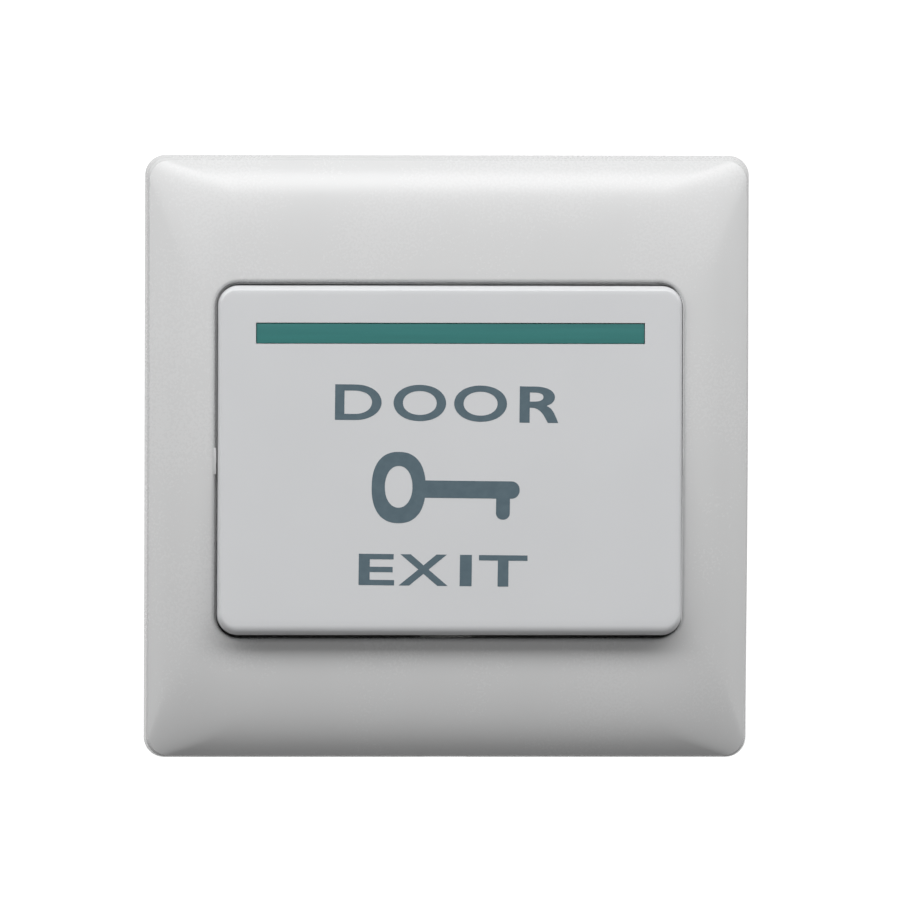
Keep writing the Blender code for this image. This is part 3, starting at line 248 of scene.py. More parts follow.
def rod(radius, start, end, centre, axis="Y", sides=48):
    """A round rod along an axis. The centre is its two other coordinates."""
    start_clean()
    turn = (math.radians(90), 0, 0) if axis == "Y" else (0, math.radians(90), 0)
    middle = (start + end) / 2
    place = (centre[0], middle, centre[1]) if axis == "Y" else (middle, centre[0], centre[1])
    bpy.ops.mesh.primitive_cylinder_add(
        vertices=sides, radius=radius, depth=abs(end - start), location=place, rotation=turn
    )
    apply_place()
    return bpy.context.object


# %% A line of points, drawn out or spun round
def quarter_turn(steps):
    """The angles from 0 to 90 degrees, in even steps."""
    return [math.radians(90 * step / steps) for step in range(steps + 1)]


def in_mm(*points):
    return [tuple(value * MM for value in point) for point in points]


def line(points):
    """A chain of edges, extruded from one vertex to the next."""
    start_clean()
    bpy.ops.mesh.primitive_plane_add(size=MM, location=points[0])
    edit_all(bpy.context.object)
    bpy.ops.mesh.merge(type="CENTER")
    for before, after in zip(points, points[1:]):
        step = [b - a for a, b in zip(before, after)]
        bpy.ops.mesh.extrude_region_move(TRANSFORM_OT_translate={"value": step})
    leave_edit()
    apply_place()
    return bpy.context.object


def fill(piece):
    """Opens the piece in edit mode and closes its outline with a face."""
    edit_all(piece)
    bpy.ops.mesh.edge_face_add()


def prism(points, way):
    """An outline of points, filled and drawn out by the way given."""
    piece = line(points)
    fill(piece)
    bpy.ops.mesh.extrude_region_move(TRANSFORM_OT_translate={"value": way})
    leave_edit()
    close_normals(piece)
    return piece


def drawn_out(section, x_low, x_high):
    """A (y, z) section drawn out along X."""
    return prism([(x_low, y, z) for y, z in section], (x_high - x_low, 0, 0))


def spun(profile, centre_x, centre_z, steps=64):
    """(radius, y) points spun about an axis along Y. The ends close on the axis."""
    points = [(0, profile[0][1])] + list(profile) + [(0, profile[-1][1])]
    piece = line([(centre_x + radius, y, centre_z) for radius, y in points])
    edit_all(piece)
    bpy.ops.mesh.spin(
        steps=steps, angle=math.radians(360), center=(centre_x, 0, centre_z), axis=(0, 1, 0)
    )
    leave_edit()
    close_normals(piece, 1e-6)
    return piece


# %% [markdown]
# ## Finishes shared by several pieces
#
# A moulded plastic is never quite even. Its skin has a very fine grain from the mould, its
# colour drifts by a trace, and dust and tiny flecks lie on it. Metal shows the brush or roll
# marks instead. Each of these effects is a node group, built once, with sockets for its scale
# and strength, so that each finish uses it with its own values.


# %% Node groups
def new_group(name, inputs, outputs):
    group = bpy.data.node_groups.new(name, "ShaderNodeTree")
    for label, value in inputs:
        socket = group.interface.new_socket(label, in_out="INPUT", socket_type="NodeSocketFloat")
        socket.default_value = value
    for label in outputs:
        group.interface.new_socket(label, in_out="OUTPUT", socket_type="NodeSocketFloat")
    entry = group.nodes.new("NodeGroupInput")
    leave = group.nodes.new("NodeGroupOutput")
    return group, entry, leave


def connect(tree, made, inputs):
    """Fills a node's sockets, each from another node's output or with a plain value."""
    for name, value in inputs.items():
        if isinstance(value, bpy.types.NodeSocket):
            tree.links.new(value, made.inputs[name])
        else:
            made.inputs[name].default_value = value


def node(tree, kind, inputs=None, **settings):
    made = tree.nodes.new(kind)
    for name, value in settings.items():
        setattr(made, name, value)
    connect(tree, made, inputs or {})
    return made


def ramp(tree, source, low, high, to_low=0.0, to_high=1.0):
    """Maps the values between low and high to a new range, clamped."""
    inputs = {"From Min": low, "From Max": high, "To Min": to_low, "To Max": to_high}
    return node(tree, "ShaderNodeMapRange", {"Value": source, **inputs}).outputs["Result"]


def maths(tree, operation, first, second):
    made = node(tree, "ShaderNodeMath", {0: first, 1: second}, operation=operation)
    return made.outputs["Value"]


def noise(tree, place, scale, detail, roughness=0.5):
    inputs = {"Vector": place, "Scale": scale, "Detail": detail, "Roughness": roughness}
    return node(tree, "ShaderNodeTexNoise", inputs).outputs["Fac"]


def own_place(tree):
    """The place in the piece's own coordinates, so that a texture stays on it as it moves."""
    return node(tree, "ShaderNodeTexCoord").outputs["Object"]


def stretched(tree, place, scale):
    """The place scaled each way by its own amount, which draws a texture out."""
    return node(tree, "ShaderNodeMapping", {"Vector": place, "Scale": scale}).outputs["Vector"]


# %% Mould grain, drifting tone, flecks and rolled metal
def make_grain_group():
    """Height is the skin's fine grain, Tone a slow drift, and Sheen is both multiplied."""
    group, entry, leave = new_group(
        "mould_skin", [("Grain Scale", 9000.0), ("Tone Scale", 60.0)], ["Height", "Tone", "Sheen"]
    )
    place = own_place(group)
    fine = noise(group, place, entry.outputs["Grain Scale"], 3.0, 0.6)
    slow = noise(group, place, entry.outputs["Tone Scale"], 2.0)
    sheen = maths(group, "MULTIPLY", fine, slow)
    connect(group, leave, {"Height": fine, "Tone": slow, "Sheen": sheen})
    return group


def make_fleck_group():
    """Mask is 1 in a few tiny specks. Share is how many cells hold one."""
    group, entry, leave = new_group(
        "dust_flecks", [("Scale", 260.0), ("Size", 0.06), ("Share", 0.03)], ["Mask"]
    )
    inputs = {"Vector": own_place(group), "Scale": entry.outputs["Scale"]}
    cells = node(group, "ShaderNodeTexVoronoi", inputs)
    near = maths(group, "LESS_THAN", cells.outputs["Distance"], entry.outputs["Size"])
    split = node(group, "ShaderNodeSeparateColor", {"Color": cells.outputs["Color"]})
    chosen = maths(group, "LESS_THAN", split.outputs["Red"], entry.outputs["Share"])
    connect(group, leave, {"Mask": maths(group, "MULTIPLY", near, chosen)})
    return group


def make_rolled_group():
    """Fine lines along X, as rolling or drawing leaves them on metal, and a blotchy film."""
    group, entry, leave = new_group(
        "rolled_metal", [("Line Scale", 4000.0), ("Film Scale", 500.0)], ["Lines", "Film"]
    )
    place = own_place(group)
    along = stretched(group, place, (0.04, 1.0, 1.0))
    lines = noise(group, along, entry.outputs["Line Scale"], 4.0)
    film = noise(group, place, entry.outputs["Film Scale"], 3.0)
    connect(group, leave, {"Lines": lines, "Film": film})
    return group


grain_group = make_grain_group()
fleck_group = make_fleck_group()
rolled_group = make_rolled_group()
print("groups:", [group.name for group in bpy.data.node_groups])


# %% [markdown]
# ## The plastics
#
# The surround is a glossy white plastic, the push plate the same plastic with a softer skin,
# and the parts behind are duller mouldings. One recipe serves them all: two near tones mixed
# by the slow drift, a roughness that the grain varies a little, a very shallow bump, and a few
# flecks. The numbers that don't change over a surface sit on the shader's own sockets.


# %% Plastic recipe
def place_group(tree, group, inputs):
    return node(tree, "ShaderNodeGroup", inputs, node_tree=group).outputs


def mix_colours(tree, factor, first, second):
    first, second = (
        (*tone, 1.0) if isinstance(tone, tuple) else tone for tone in (first, second)
    )
    inputs = {0: factor, 6: first, 7: second}
    return node(tree, "ShaderNodeMix", inputs, data_type="RGBA").outputs[2]


def finish_off(tree, shader, colour, rough, height, distance):
    """Gives the shader its colour, its roughness and a bump of the height."""
    made = node(tree, "ShaderNodeBump", {"Strength": 1.0, "Distance": distance, "Height": height})
    normal = made.outputs["Normal"]
    connect(tree, shader, {"Base Color": colour, "Roughness": rough, "Normal": normal})


def new_finish(name):
    material = bpy.data.materials.new(name)
    material.use_nodes = True
    return material, material.node_tree, material.node_tree.nodes["Principled BSDF"]


def plastic(name, light, dark, rough, spread, grain, depth, fleck_tone, fleck_share, ior=None):
    """spread is how far the roughness strays either way, depth the height of the grain."""
    material, tree, shader = new_finish(name)
    skin = place_group(tree, grain_group, {"Grain Scale": grain})
    tone = ramp(tree, skin["Tone"], 0.35, 0.65)
    colour = mix_colours(tree, tone, dark, light)
    flecks = place_group(tree, fleck_group, {"Share": fleck_share})
    colour = mix_colours(tree, flecks["Mask"], colour, fleck_tone)
    sheen = ramp(tree, skin["Sheen"], 0.15, 0.4, rough - spread, rough + spread)
    finish_off(tree, shader, colour, sheen, skin["Height"], depth)
    if ior:
        shader.inputs["IOR"].default_value = ior
    return material


surround_white = plastic(
    "surround_white", (0.664, 0.667, 0.668), (0.648, 0.651, 0.652), rough=0.27, spread=0.02,
    grain=2600.0, depth=0.0012 * MM, fleck_tone=(0.42, 0.42, 0.42), fleck_share=0.012, ior=1.46,
)
push_white = plastic(
    "push_white", (0.655, 0.663, 0.675), (0.643, 0.651, 0.663), rough=0.34, spread=0.04,
    grain=3400.0, depth=0.004 * MM, fleck_tone=(0.40, 0.40, 0.40), fleck_share=0.012, ior=1.48,
)
chassis_white = plastic(
    "chassis_white", (0.540, 0.540, 0.525), (0.500, 0.500, 0.486), rough=0.46, spread=0.06,
    grain=2200.0, depth=0.006 * MM, fleck_tone=(0.33, 0.33, 0.32), fleck_share=0.02,
)
switch_ivory = plastic(
    "switch_ivory", (0.440, 0.432, 0.400), (0.400, 0.392, 0.362), rough=0.5, spread=0.06,
    grain=2400.0, depth=0.006 * MM, fleck_tone=(0.26, 0.25, 0.23), fleck_share=0.02,
)
plunger_cream = plastic(
    "plunger_cream", (0.700, 0.650, 0.540), (0.660, 0.610, 0.505), rough=0.34, spread=0.05,
    grain=2600.0, depth=0.003 * MM, fleck_tone=(0.5, 0.46, 0.38), fleck_share=0.01,
)
print("plastics:", surround_white.name, push_white.name, chassis_white.name)

# %% [markdown]
# ## The strip's teal and the printed ink
#
# The strip is a dark green-blue bar that glows in the dark. Its colour is drawn out in faint
# level streaks, and painted shade darkens its upper part, as under the pocket's top edge. The
# marks are a thin layer of grey-blue ink, so their finish has the plate's grain under it and a
# slightly patchy density.


# %% Strip and ink
def streaked_teal():
    material, tree, shader = new_finish("strip_teal")
    place = own_place(tree)
    streaks = noise(tree, stretched(tree, place, (0.03, 0.2, 1.0)), 1400.0, 3.0)
    height = node(tree, "ShaderNodeSeparateXYZ", {"Vector": place})
    low, high = (point.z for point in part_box("luminous_strip"))
    # Painted shade: the teal darkens from the strip's foot to its top, as if the pocket's top edge
    # shaded it.
    painted_shade = ramp(tree, height.outputs["Z"], low, high)
    base = mix_colours(tree, painted_shade, (0.026, 0.172, 0.160), (0.018, 0.138, 0.132))
    density = ramp(tree, streaks, 0.3, 0.7, 0.0, 0.35)
    colour = mix_colours(tree, density, base, (0.035, 0.205, 0.190))
    rough = ramp(tree, streaks, 0.3, 0.7, 0.34, 0.44)
    finish_off(tree, shader, colour, rough, streaks, 0.006 * MM)
    return material


def printed_ink():
    material, tree, shader = new_finish("printed_ink")
    skin = place_group(tree, grain_group, {"Grain Scale": 3400.0, "Tone Scale": 900.0})
    tone = ramp(tree, skin["Tone"], 0.3, 0.7)
    colour = mix_colours(tree, tone, (0.070, 0.110, 0.134), (0.084, 0.128, 0.153))
    rough = ramp(tree, skin["Height"], 0.3, 0.7, 0.40, 0.52)
    finish_off(tree, shader, colour, rough, skin["Height"], 0.003 * MM)
    return material


strip_teal = streaked_teal()
ink = printed_ink()
print("made:", strip_teal.name, ink.name)


# %% [markdown]
# ## The metals
#
# Terminals and the contact bridge are rolled brass, the screws, springs and clamp plates are
# zinc-plated steel, and the contacts are silver. A metal keeps a plain Metallic of 1. What makes
# it real is a roughness that follows the roll marks and a thin film that stains its colour.


# %% Metal recipe
def metal(name, clean, stained, rough, spread, line_scale, depth):
    material, tree, shader = new_finish(name)
    rolled = place_group(tree, rolled_group, {"Line Scale": line_scale})
    film = ramp(tree, rolled["Film"], 0.42, 0.72)
    colour = mix_colours(tree, film, clean, stained)
    sheen = ramp(tree, rolled["Lines"], 0.3, 0.7, rough - spread, rough + spread)
    finish_off(tree, shader, colour, sheen, rolled["Lines"], depth)
    shader.inputs["Metallic"].default_value = 1.0
    return material


rolled_brass = metal(
    "rolled_brass", (0.78, 0.58, 0.27), (0.60, 0.40, 0.17), rough=0.30, spread=0.08,
    line_scale=3500.0, depth=0.004 * MM,
)
plated_steel = metal(
    "plated_steel", (0.66, 0.66, 0.64), (0.50, 0.50, 0.50), rough=0.28, spread=0.08,
    line_scale=4500.0, depth=0.003 * MM,
)
silver = metal(
    "contact_silver", (0.86, 0.85, 0.82), (0.66, 0.64, 0.60), rough=0.24, spread=0.06,
    line_scale=5000.0, depth=0.002 * MM,
)
print("metals:", rolled_brass.name, plated_steel.name, silver.name)

# %% [markdown]
# ## The surround
#
# The surround is a snap-on shell. Its front is a pillow: it falls away in a long curve from
# the opening to the outer rim, and the whole front is arched from top to bottom. A stack of
# rounded outlines, each a little larger and at its own depth, gives this shape exactly, and
# bridging each outline to the next makes the surface. A box with bevelled edges could never
# follow both curves.

# %% Sizes of the surround
frame_low, frame_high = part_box("outer_frame")
HALF = frame_high.x
FRONT = frame_low.y
BORDER_SIDE = 9.6 * MM
BORDER_END = 17.4 * MM
CROWN_FALL = 3.3 * MM
CROWN_CURVE = 2.3
ARCH_RADIUS = 300 * MM
OPEN_X = HALF - BORDER_SIDE
OPEN_Z = HALF - BORDER_END
OPEN_CORNER = 3.4 * MM
OPEN_ROUND = 0.6 * MM
EDGE_IN = 0.2 * MM
LIP_X = OPEN_X - EDGE_IN
LIP_Z = OPEN_Z - EDGE_IN
LIP_FOOT = FRONT + 4.0 * MM
LIP_WALL = 1.6 * MM
WALL = 2.0 * MM
INSIDE = HALF - WALL
DRAFT = 0.25 * MM
RIM_CORNER = 2.9 * MM
INNER_CORNER = 2.0 * MM
RIM_ROUND = 0.9 * MM
RIM_TURN = math.radians(48)
SIDE_STEPS = 16


def front_depth(across, z):
    """Depth of the front, from the rim (across 0) to the opening (1), at the height z."""
    fall = CROWN_FALL * (1 - min(across, 1.0)) ** CROWN_CURVE
    return FRONT + z * z / (2 * ARCH_RADIUS) + fall


def shell_outline(half_x, half_z, corner, depth):
    return outline(half_x, half_z, corner, depth, side_steps=SIDE_STEPS)


def opening_outline(out, depth):
    """The opening's outline, grown by out on every side."""
    return shell_outline(LIP_X + out, LIP_Z + out, OPEN_CORNER + out, depth)


def crown_outline(start, part, end_x, end_z, start_corner, end_corner, sink):
    """An outline between the rim and the opening, sunk by the wall for the inner face."""
    half_x = start + (end_x - start) * part
    half_z = start + (end_x - start) * part + (end_z - end_x) * part**3
    corner = start_corner + (end_corner - start_corner) * part
    corner += 5.0 * MM * math.sin(math.pi * part)
    across = (HALF - half_x) / BORDER_SIDE
    return shell_outline(half_x, half_z, corner, lambda z: front_depth(across, z) + sink)


# %% Outlines of the surround, from the rim over the front and back
def rim_outlines():
    rings = [shell_outline(HALF, HALF, RIM_CORNER, lambda z: 0.0)]
    steps = 6
    for step in range(steps):
        turn = RIM_TURN * step / steps
        side = HALF - DRAFT - RIM_ROUND * (1 - math.cos(turn))
        drop = RIM_ROUND * (math.sin(RIM_TURN) - math.sin(turn))
        rings.append(
            shell_outline(side, side, RIM_CORNER, lambda z, drop=drop: front_depth(0, z) + drop)
        )
    return rings


def crown_outlines():
    start = HALF - DRAFT - RIM_ROUND * (1 - math.cos(RIM_TURN))
    steps = 26
    return [
        crown_outline(
            start, (step / steps) ** 1.3, LIP_X + OPEN_ROUND, LIP_Z + OPEN_ROUND,
            RIM_CORNER, OPEN_CORNER + OPEN_ROUND, 0.0,
        )
        for step in range(steps)
    ]


def lip_outlines():
    rings = []
    for turn in quarter_turn(6):
        out = OPEN_ROUND * (1 - math.sin(turn))
        drop = OPEN_ROUND * (1 - math.cos(turn))
        rings.append(opening_outline(out, lambda z, drop=drop: front_depth(1, z) + drop))
    return rings + [opening_outline(out, lambda z: LIP_FOOT) for out in (0.0, LIP_WALL)]


def inner_outlines():
    steps = 8
    rings = [
        crown_outline(
            INSIDE - DRAFT, step / steps, OPEN_X + LIP_WALL, OPEN_Z + LIP_WALL,
            INNER_CORNER, OPEN_CORNER + LIP_WALL, WALL,
        )
        for step in range(steps, -1, -1)
    ]
    return rings + [shell_outline(INSIDE, INSIDE, INNER_CORNER, lambda z: 0.0)]


surround = bridged(
    "surround_shell",
    rim_outlines() + crown_outlines() + lip_outlines() + inner_outlines(),
    closed=True,
)
print("surround:", len(surround.data.vertices), "points")

# %% [markdown]
# ## Ribs, lugs, a ledge and the pry slot
#
# Inside the surround, four lugs snap under the mounting plate, four ribs stiffen the wide
# borders, and a short rib on each side of the opening centres the push plate. A thin ledge runs
# round the opening below the front, so that the gap round the plate doesn't look bottomless. A
# slot in the lower rim takes the tip of a screwdriver. Boxes and drawn-out sections are enough
# for most of these, with every edge softened, and the slot is cut with a Boolean.

# %% Inside the surround
LUG_Z = 20 * MM
LUG_LENGTH = 5.4 * MM
STIFFENER_X = 22 * MM
STIFFENER_LENGTH = 10 * MM
GUIDE_HALF = 1.9 * MM
LEDGE_LEFT, LEDGE_RIGHT = -32.91 * MM, 33.19 * MM
LEDGE_TOP, LEDGE_FOOT = 25.03 * MM, -LIP_Z + 0.02 * MM
LEDGE_CORNER = 3.1 * MM
LEDGE_SINK = 1.45 * MM
LEDGE_THICKNESS = 0.5 * MM
LEDGE_RISE = 1.25 * MM
RISE_START, RISE_END = 31.5 * MM, 33.1 * MM


def surround_lugs():
    lugs = []
    root, tip, top_tip = INSIDE + 0.4 * MM, INSIDE - 1.5 * MM, INSIDE - 1.2 * MM
    foot, top = -0.1 * MM, -0.9 * MM
    for side in (-1, 1):
        for z in (-LUG_Z, LUG_Z):
            section = [(root, foot), (tip, foot), (top_tip, top), (root, top)]
            points = [(side * x, y, z - LUG_LENGTH / 2) for x, y in section]
            lugs.append(prism(points, (0, 0, LUG_LENGTH)))
    return lugs


def surround_stiffeners():
    ribs = []
    start = OPEN_Z + 2.1 * MM
    end = start + STIFFENER_LENGTH
    for end_sign in (-1, 1):
        section = [(-2.6 * MM, end_sign * start), (-2.6 * MM, end_sign * end)]
        for step in range(4, -1, -1):
            z = start + (end - start) * step / 4
            depth = front_depth((HALF - z) / BORDER_END, z) + WALL / 2
            section.append((depth, end_sign * z))
        for x in (-STIFFENER_X, STIFFENER_X):
            ribs.append(drawn_out(section, x - 0.5 * MM, x + 0.5 * MM))
    return ribs


def surround_guides():
    """The two centring ribs. The left one stands further out than the right one."""
    ribs = []
    for side, stand in ((-1, 0.2 * MM), (1, 0.03 * MM)):
        low = (side * (LIP_X + 0.8 * MM), FRONT + 0.15 * MM, -GUIDE_HALF)
        high = (side * (LIP_X - stand), LIP_FOOT - 0.3 * MM, GUIDE_HALF)
        ribs.append(block(low, high))
    return ribs


def ledge_outline(inner, sink):
    """The ledge's edge at the push plate, or the one inside the lip. It rises at the right."""
    def depth(z):
        return front_depth(1, z) + sink

    if inner:
        half_x, half_z = (LEDGE_RIGHT - LEDGE_LEFT) / 2, (LEDGE_TOP - LEDGE_FOOT) / 2
        middle_x, middle_z = (LEDGE_LEFT + LEDGE_RIGHT) / 2, (LEDGE_TOP + LEDGE_FOOT) / 2
        ring = outline(half_x, half_z, LEDGE_CORNER, depth, middle_z, side_steps=SIDE_STEPS)
    else:
        middle_x = 0.0
        ring = shell_outline(LIP_X + 0.3 * MM, LIP_Z + 0.3 * MM, OPEN_CORNER, depth)
    for vertex in ring.data.vertices:
        vertex.co.x += middle_x
        part = (vertex.co.x - RISE_START) / (RISE_END - RISE_START)
        vertex.co.y -= LEDGE_RISE * min(max(part, 0.0), 1.0)
    return ring


def surround_ledge():
    foot = LEDGE_SINK + LEDGE_THICKNESS
    edges = ((False, LEDGE_SINK), (True, LEDGE_SINK), (True, foot), (False, foot))
    return bridged("ledge", [ledge_outline(inner, sink) for inner, sink in edges], closed=True)


ledge = surround_ledge()
small_parts = surround_lugs() + surround_stiffeners() + surround_guides()
for part in small_parts:
    soften(part, 0.12 * MM)
pry_slot = block((-3 * MM, -MM, -HALF - MM), (3 * MM, MM, -INSIDE + MM))
combine(surround, pry_slot, "DIFFERENCE")
smooth(surround, 30)
for part in small_parts:
    smooth(part)
smooth(ledge)
surround = join("surround_shell", [surround, ledge] + small_parts)
hand_over(surround, "base", ["outer_frame"], "white_abs", surround_white)

# %% [markdown]
# ## The push plate
#
# The plate is a shallow tray that hangs on two pins. It is drawn pressed, with its face
# parallel to the wall, because all its walls are square to each other there, and is leaned out
# about its pins when it is done. Its lower wall is an arc about the pins, so that the gap under
# it stays even as it turns. Outlines bridged from the inner face round to the front give its
# skirt, its arc and the round of its edge in one surface. The round runs out in a last soft
# fall of a few hundredths of a millimetre, so no line shows where the flat face begins.

# %% Sizes of the push plate
HINGE = Vector((0, -4.4 * MM, 20.3 * MM))
LEAN = math.radians(2.5)
SIDE_PLAY = 0.14 * MM
FACE = FRONT - 0.3 * MM
FACE_WALL = 2.2 * MM
SKIRT_WALL = 1.6 * MM
SKIRT = 6.1 * MM
EDGE = 1.1 * MM
SOFT_FALL = 0.035 * MM
PLATE_DRAFT = 0.05 * MM
PLATE_CORNER = 2.9 * MM
SKIRT_CORNER = 1.3 * MM
FOOT_ROUND = 0.15 * MM
# The edge's round reaches further in at the foot than at the top, and least at the sides.
TOP_SHARE, FOOT_SHARE, SIDE_SHARE = 0.75, 1.25, 0.55
PLATE_X = OPEN_X - 0.4 * MM
PLATE_TOP = OPEN_Z - 0.8 * MM
PLATE_FOOT = -OPEN_Z + 0.6 * MM
REACH = HINGE.z - PLATE_FOOT


def plate_outline(inset, y, corner):
    foot = HINGE.z - math.sqrt(REACH * REACH - (y - HINGE.y) ** 2)
    draft = PLATE_DRAFT * (FACE + SKIRT - y) / SKIRT
    top = PLATE_TOP - TOP_SHARE * inset - draft
    foot += FOOT_SHARE * inset + draft
    half_x = PLATE_X - SIDE_SHARE * inset - draft
    return outline(half_x, (top - foot) / 2, corner, lambda z: y, (top + foot) / 2, 12)


def plate_shell():
    back = FACE + SKIRT
    rings = [
        plate_outline(SKIRT_WALL, FACE + FACE_WALL, SKIRT_CORNER),
        plate_outline(SKIRT_WALL, back, SKIRT_CORNER),
        plate_outline(FOOT_ROUND, back, PLATE_CORNER),
        plate_outline(0.0, back - FOOT_ROUND, PLATE_CORNER),
    ]
    for turn in quarter_turn(12):
        inset = EDGE * (1 - math.cos(turn))
        depth = FACE + SOFT_FALL + EDGE * (1 - math.sin(turn))
        rings.append(plate_outline(inset, depth, PLATE_CORNER - inset))
    for further, drop in ((0.2, 0.018), (0.45, 0.006), (0.75, 0.0)):
        inset = EDGE + further * MM
        rings.append(plate_outline(inset, FACE + drop * MM, PLATE_CORNER - inset))
    return bridged("plate_shell", rings)


def lean_out(piece):
    """Turns a piece drawn pressed to the rest position, about the hinge pins."""
    make_active(piece)
    turn = Matrix.Rotation(-LEAN, 4, "X")
    aside = Matrix.Translation((SIDE_PLAY, 0, 0))
    piece.matrix_world = aside @ Matrix.Translation(HINGE) @ turn @ Matrix.Translation(-HINGE)
    apply_place()


plate = plate_shell()
print("plate shell:", len(plate.data.polygons), "faces")

# %% [markdown]
# ## The pocket for the strip
#
# The strip sits in a pocket in the plate's face. The pocket's box is cut out with a Boolean,
# a twentieth of a millimetre wider than the strip all round, so that a thin dark line shows
# round it, as it does on the real plate.

# %% Cut the pocket
STRIP_HALF = 1.45 * MM
STRIP_X = PLATE_X - 5.45 * MM
STRIP_Z = PLATE_TOP - 5.3 * MM - STRIP_HALF
POCKET_PLAY = 0.05 * MM
pocket_x, pocket_half = STRIP_X + POCKET_PLAY, STRIP_HALF + POCKET_PLAY
pocket = block(
    (-pocket_x, FACE - MM, STRIP_Z - pocket_half),
    (pocket_x, FACE + 1.15 * MM, STRIP_Z + pocket_half),
)
combine(plate, pocket, "DIFFERENCE")
print("pocket cut, plate has", len(plate.data.polygons), "faces")

# %% [markdown]
# ## Behind the push plate
#
# Two ears with pins carry the plate. A boss presses the plunger, two pegs centre the return
# springs, two hooks stop the plate at rest, and ribs keep the face stiff. Each is a box, a rod
# or a drawn-out section that sinks a little into the face, so the joint looks moulded.


# %% Ribs, ears, pins, boss, pegs and hooks
BEHIND = FACE + FACE_WALL
ROOT = BEHIND - 0.4 * MM
BOSS_Z = -8.7 * MM
PEG_X, PEG_Z = 22 * MM, -12.7 * MM
HOOK_X = 15 * MM


def plate_ribs():
    back = BEHIND + 1.8 * MM
    half = 0.6 * MM
    ribs = []
    for x in (-11 * MM, 11 * MM):
        low = (x - half, ROOT, PLATE_FOOT + SKIRT_WALL + 0.4 * MM)
        ribs.append(block(low, (x + half, back, PLATE_TOP - SKIRT_WALL / 2)))
    reach = PLATE_X - SKIRT_WALL / 2
    for z in (BOSS_Z, HINGE.z - 7 * MM):
        ribs.append(block((-reach, ROOT, z - half), (reach, back, z + half)))
    return ribs


def plate_ears():
    parts = []
    radius = 1.9 * MM
    section = [(ROOT, HINGE.z + radius)]
    for step in range(17):
        turn = math.pi * step / 16
        section.append((HINGE.y + radius * math.sin(turn), HINGE.z + radius * math.cos(turn)))
    section.append((ROOT, HINGE.z - radius))
    outside = OPEN_X - 9.6 * MM
    for side in (-1, 1):
        parts.append(drawn_out(section, side * (outside - 1.8 * MM), side * outside))
        start = side * (outside - 0.4 * MM)
        end = side * (outside + 3.1 * MM)
        parts.append(rod(1.0 * MM, start, end, (HINGE.y, HINGE.z), "X", 32))
    return parts


def plate_boss_and_pegs():
    parts = [rod(3.5 * MM, ROOT, BEHIND + 2.3 * MM, (0, BOSS_Z))]
    for x in (-PEG_X, PEG_X):
        parts.append(rod(1.3 * MM, ROOT, BEHIND + 2.0 * MM, (x, PEG_Z), sides=32))
    return parts


def plate_hooks():
    centre = PLATE_FOOT + 3.5 * MM
    catch = 0.3 * MM + (HINGE.z - centre) * math.sin(LEAN)
    top, foot, barb = centre + 0.6 * MM, centre - 0.6 * MM, centre - 1.6 * MM
    section = [(ROOT, top), (catch + 1.5 * MM, top), (catch + 1.5 * MM, foot)]
    section += [(catch + 0.5 * MM, barb), (catch, barb), (catch, foot), (ROOT, foot)]
    return [drawn_out(section, x - 2 * MM, x + 2 * MM) for x in (-HOOK_X, HOOK_X)]


plate_parts = plate_ribs() + plate_ears() + plate_boss_and_pegs() + plate_hooks()
for part in plate_parts:
    soften(part, 0.12 * MM)
    smooth(part)
smooth(plate, 25)
plate = join("plate_shell", [plate] + plate_parts)
lean_out(plate)
hand_over(plate, "push_plate_body", ["push_plate"], "plate_abs", push_white)
print("plate box", [tuple(plate.bound_box[corner]) for corner in (0, 6)])

# %% [markdown]
# ## The luminous strip
#
# The strip is a plain bar, but its long front edges are softened and its face lies a little
# below the plate's. It starts as a box, its edges get a bevel with three segments, and it leans
# with the plate.

# %% Strip
strip = block(
    (-STRIP_X, FACE + 0.15 * MM, STRIP_Z - STRIP_HALF),
    (STRIP_X, FACE + 1.05 * MM, STRIP_Z + STRIP_HALF),
)
soften(strip, 0.14 * MM, 3)
smooth(strip)
strip.name = strip.data.name = "strip_bar"
lean_out(strip)
hand_over(strip, "push_plate_body", ["luminous_strip"], "teal", strip_teal)

# %% [markdown]
# ## The printed words
#
# DOOR and EXIT are printed in wide capitals whose upright strokes are thicker than their
# level ones. A plain letter that is stretched sideways has just that look, so each letter is
# typed on its own, made a mesh of a very thin layer, stretched to its place and laid on the
# face. All places are in millimetres. The R gets a bolder stem and a wider bowl than the plain
# letter has, while its leg keeps its foot. The whole print sits turned by a trace, as it does
# on the real plate.

# %% Letters
INK = 0.02 * MM
PRINT_TURN = math.radians(-0.6)


def bolder_r(across, up):
    """Where a point of the R goes, both ways measured in parts of the letter's box."""
    stem, bold_stem = 0.236, 0.267
    bowl, wide_bowl = 0.758, 0.925
    leg_top = 0.4
    if across < stem:
        return across * bold_stem / stem
    in_bowl = bold_stem + (across - stem) * (wide_bowl - bold_stem) / (bowl - stem)
    in_leg = bold_stem + (across - stem) * (1 - bold_stem) / (1 - stem)
    part = min(up / leg_top, 1.0)
    return in_leg + (in_bowl - in_leg) * part


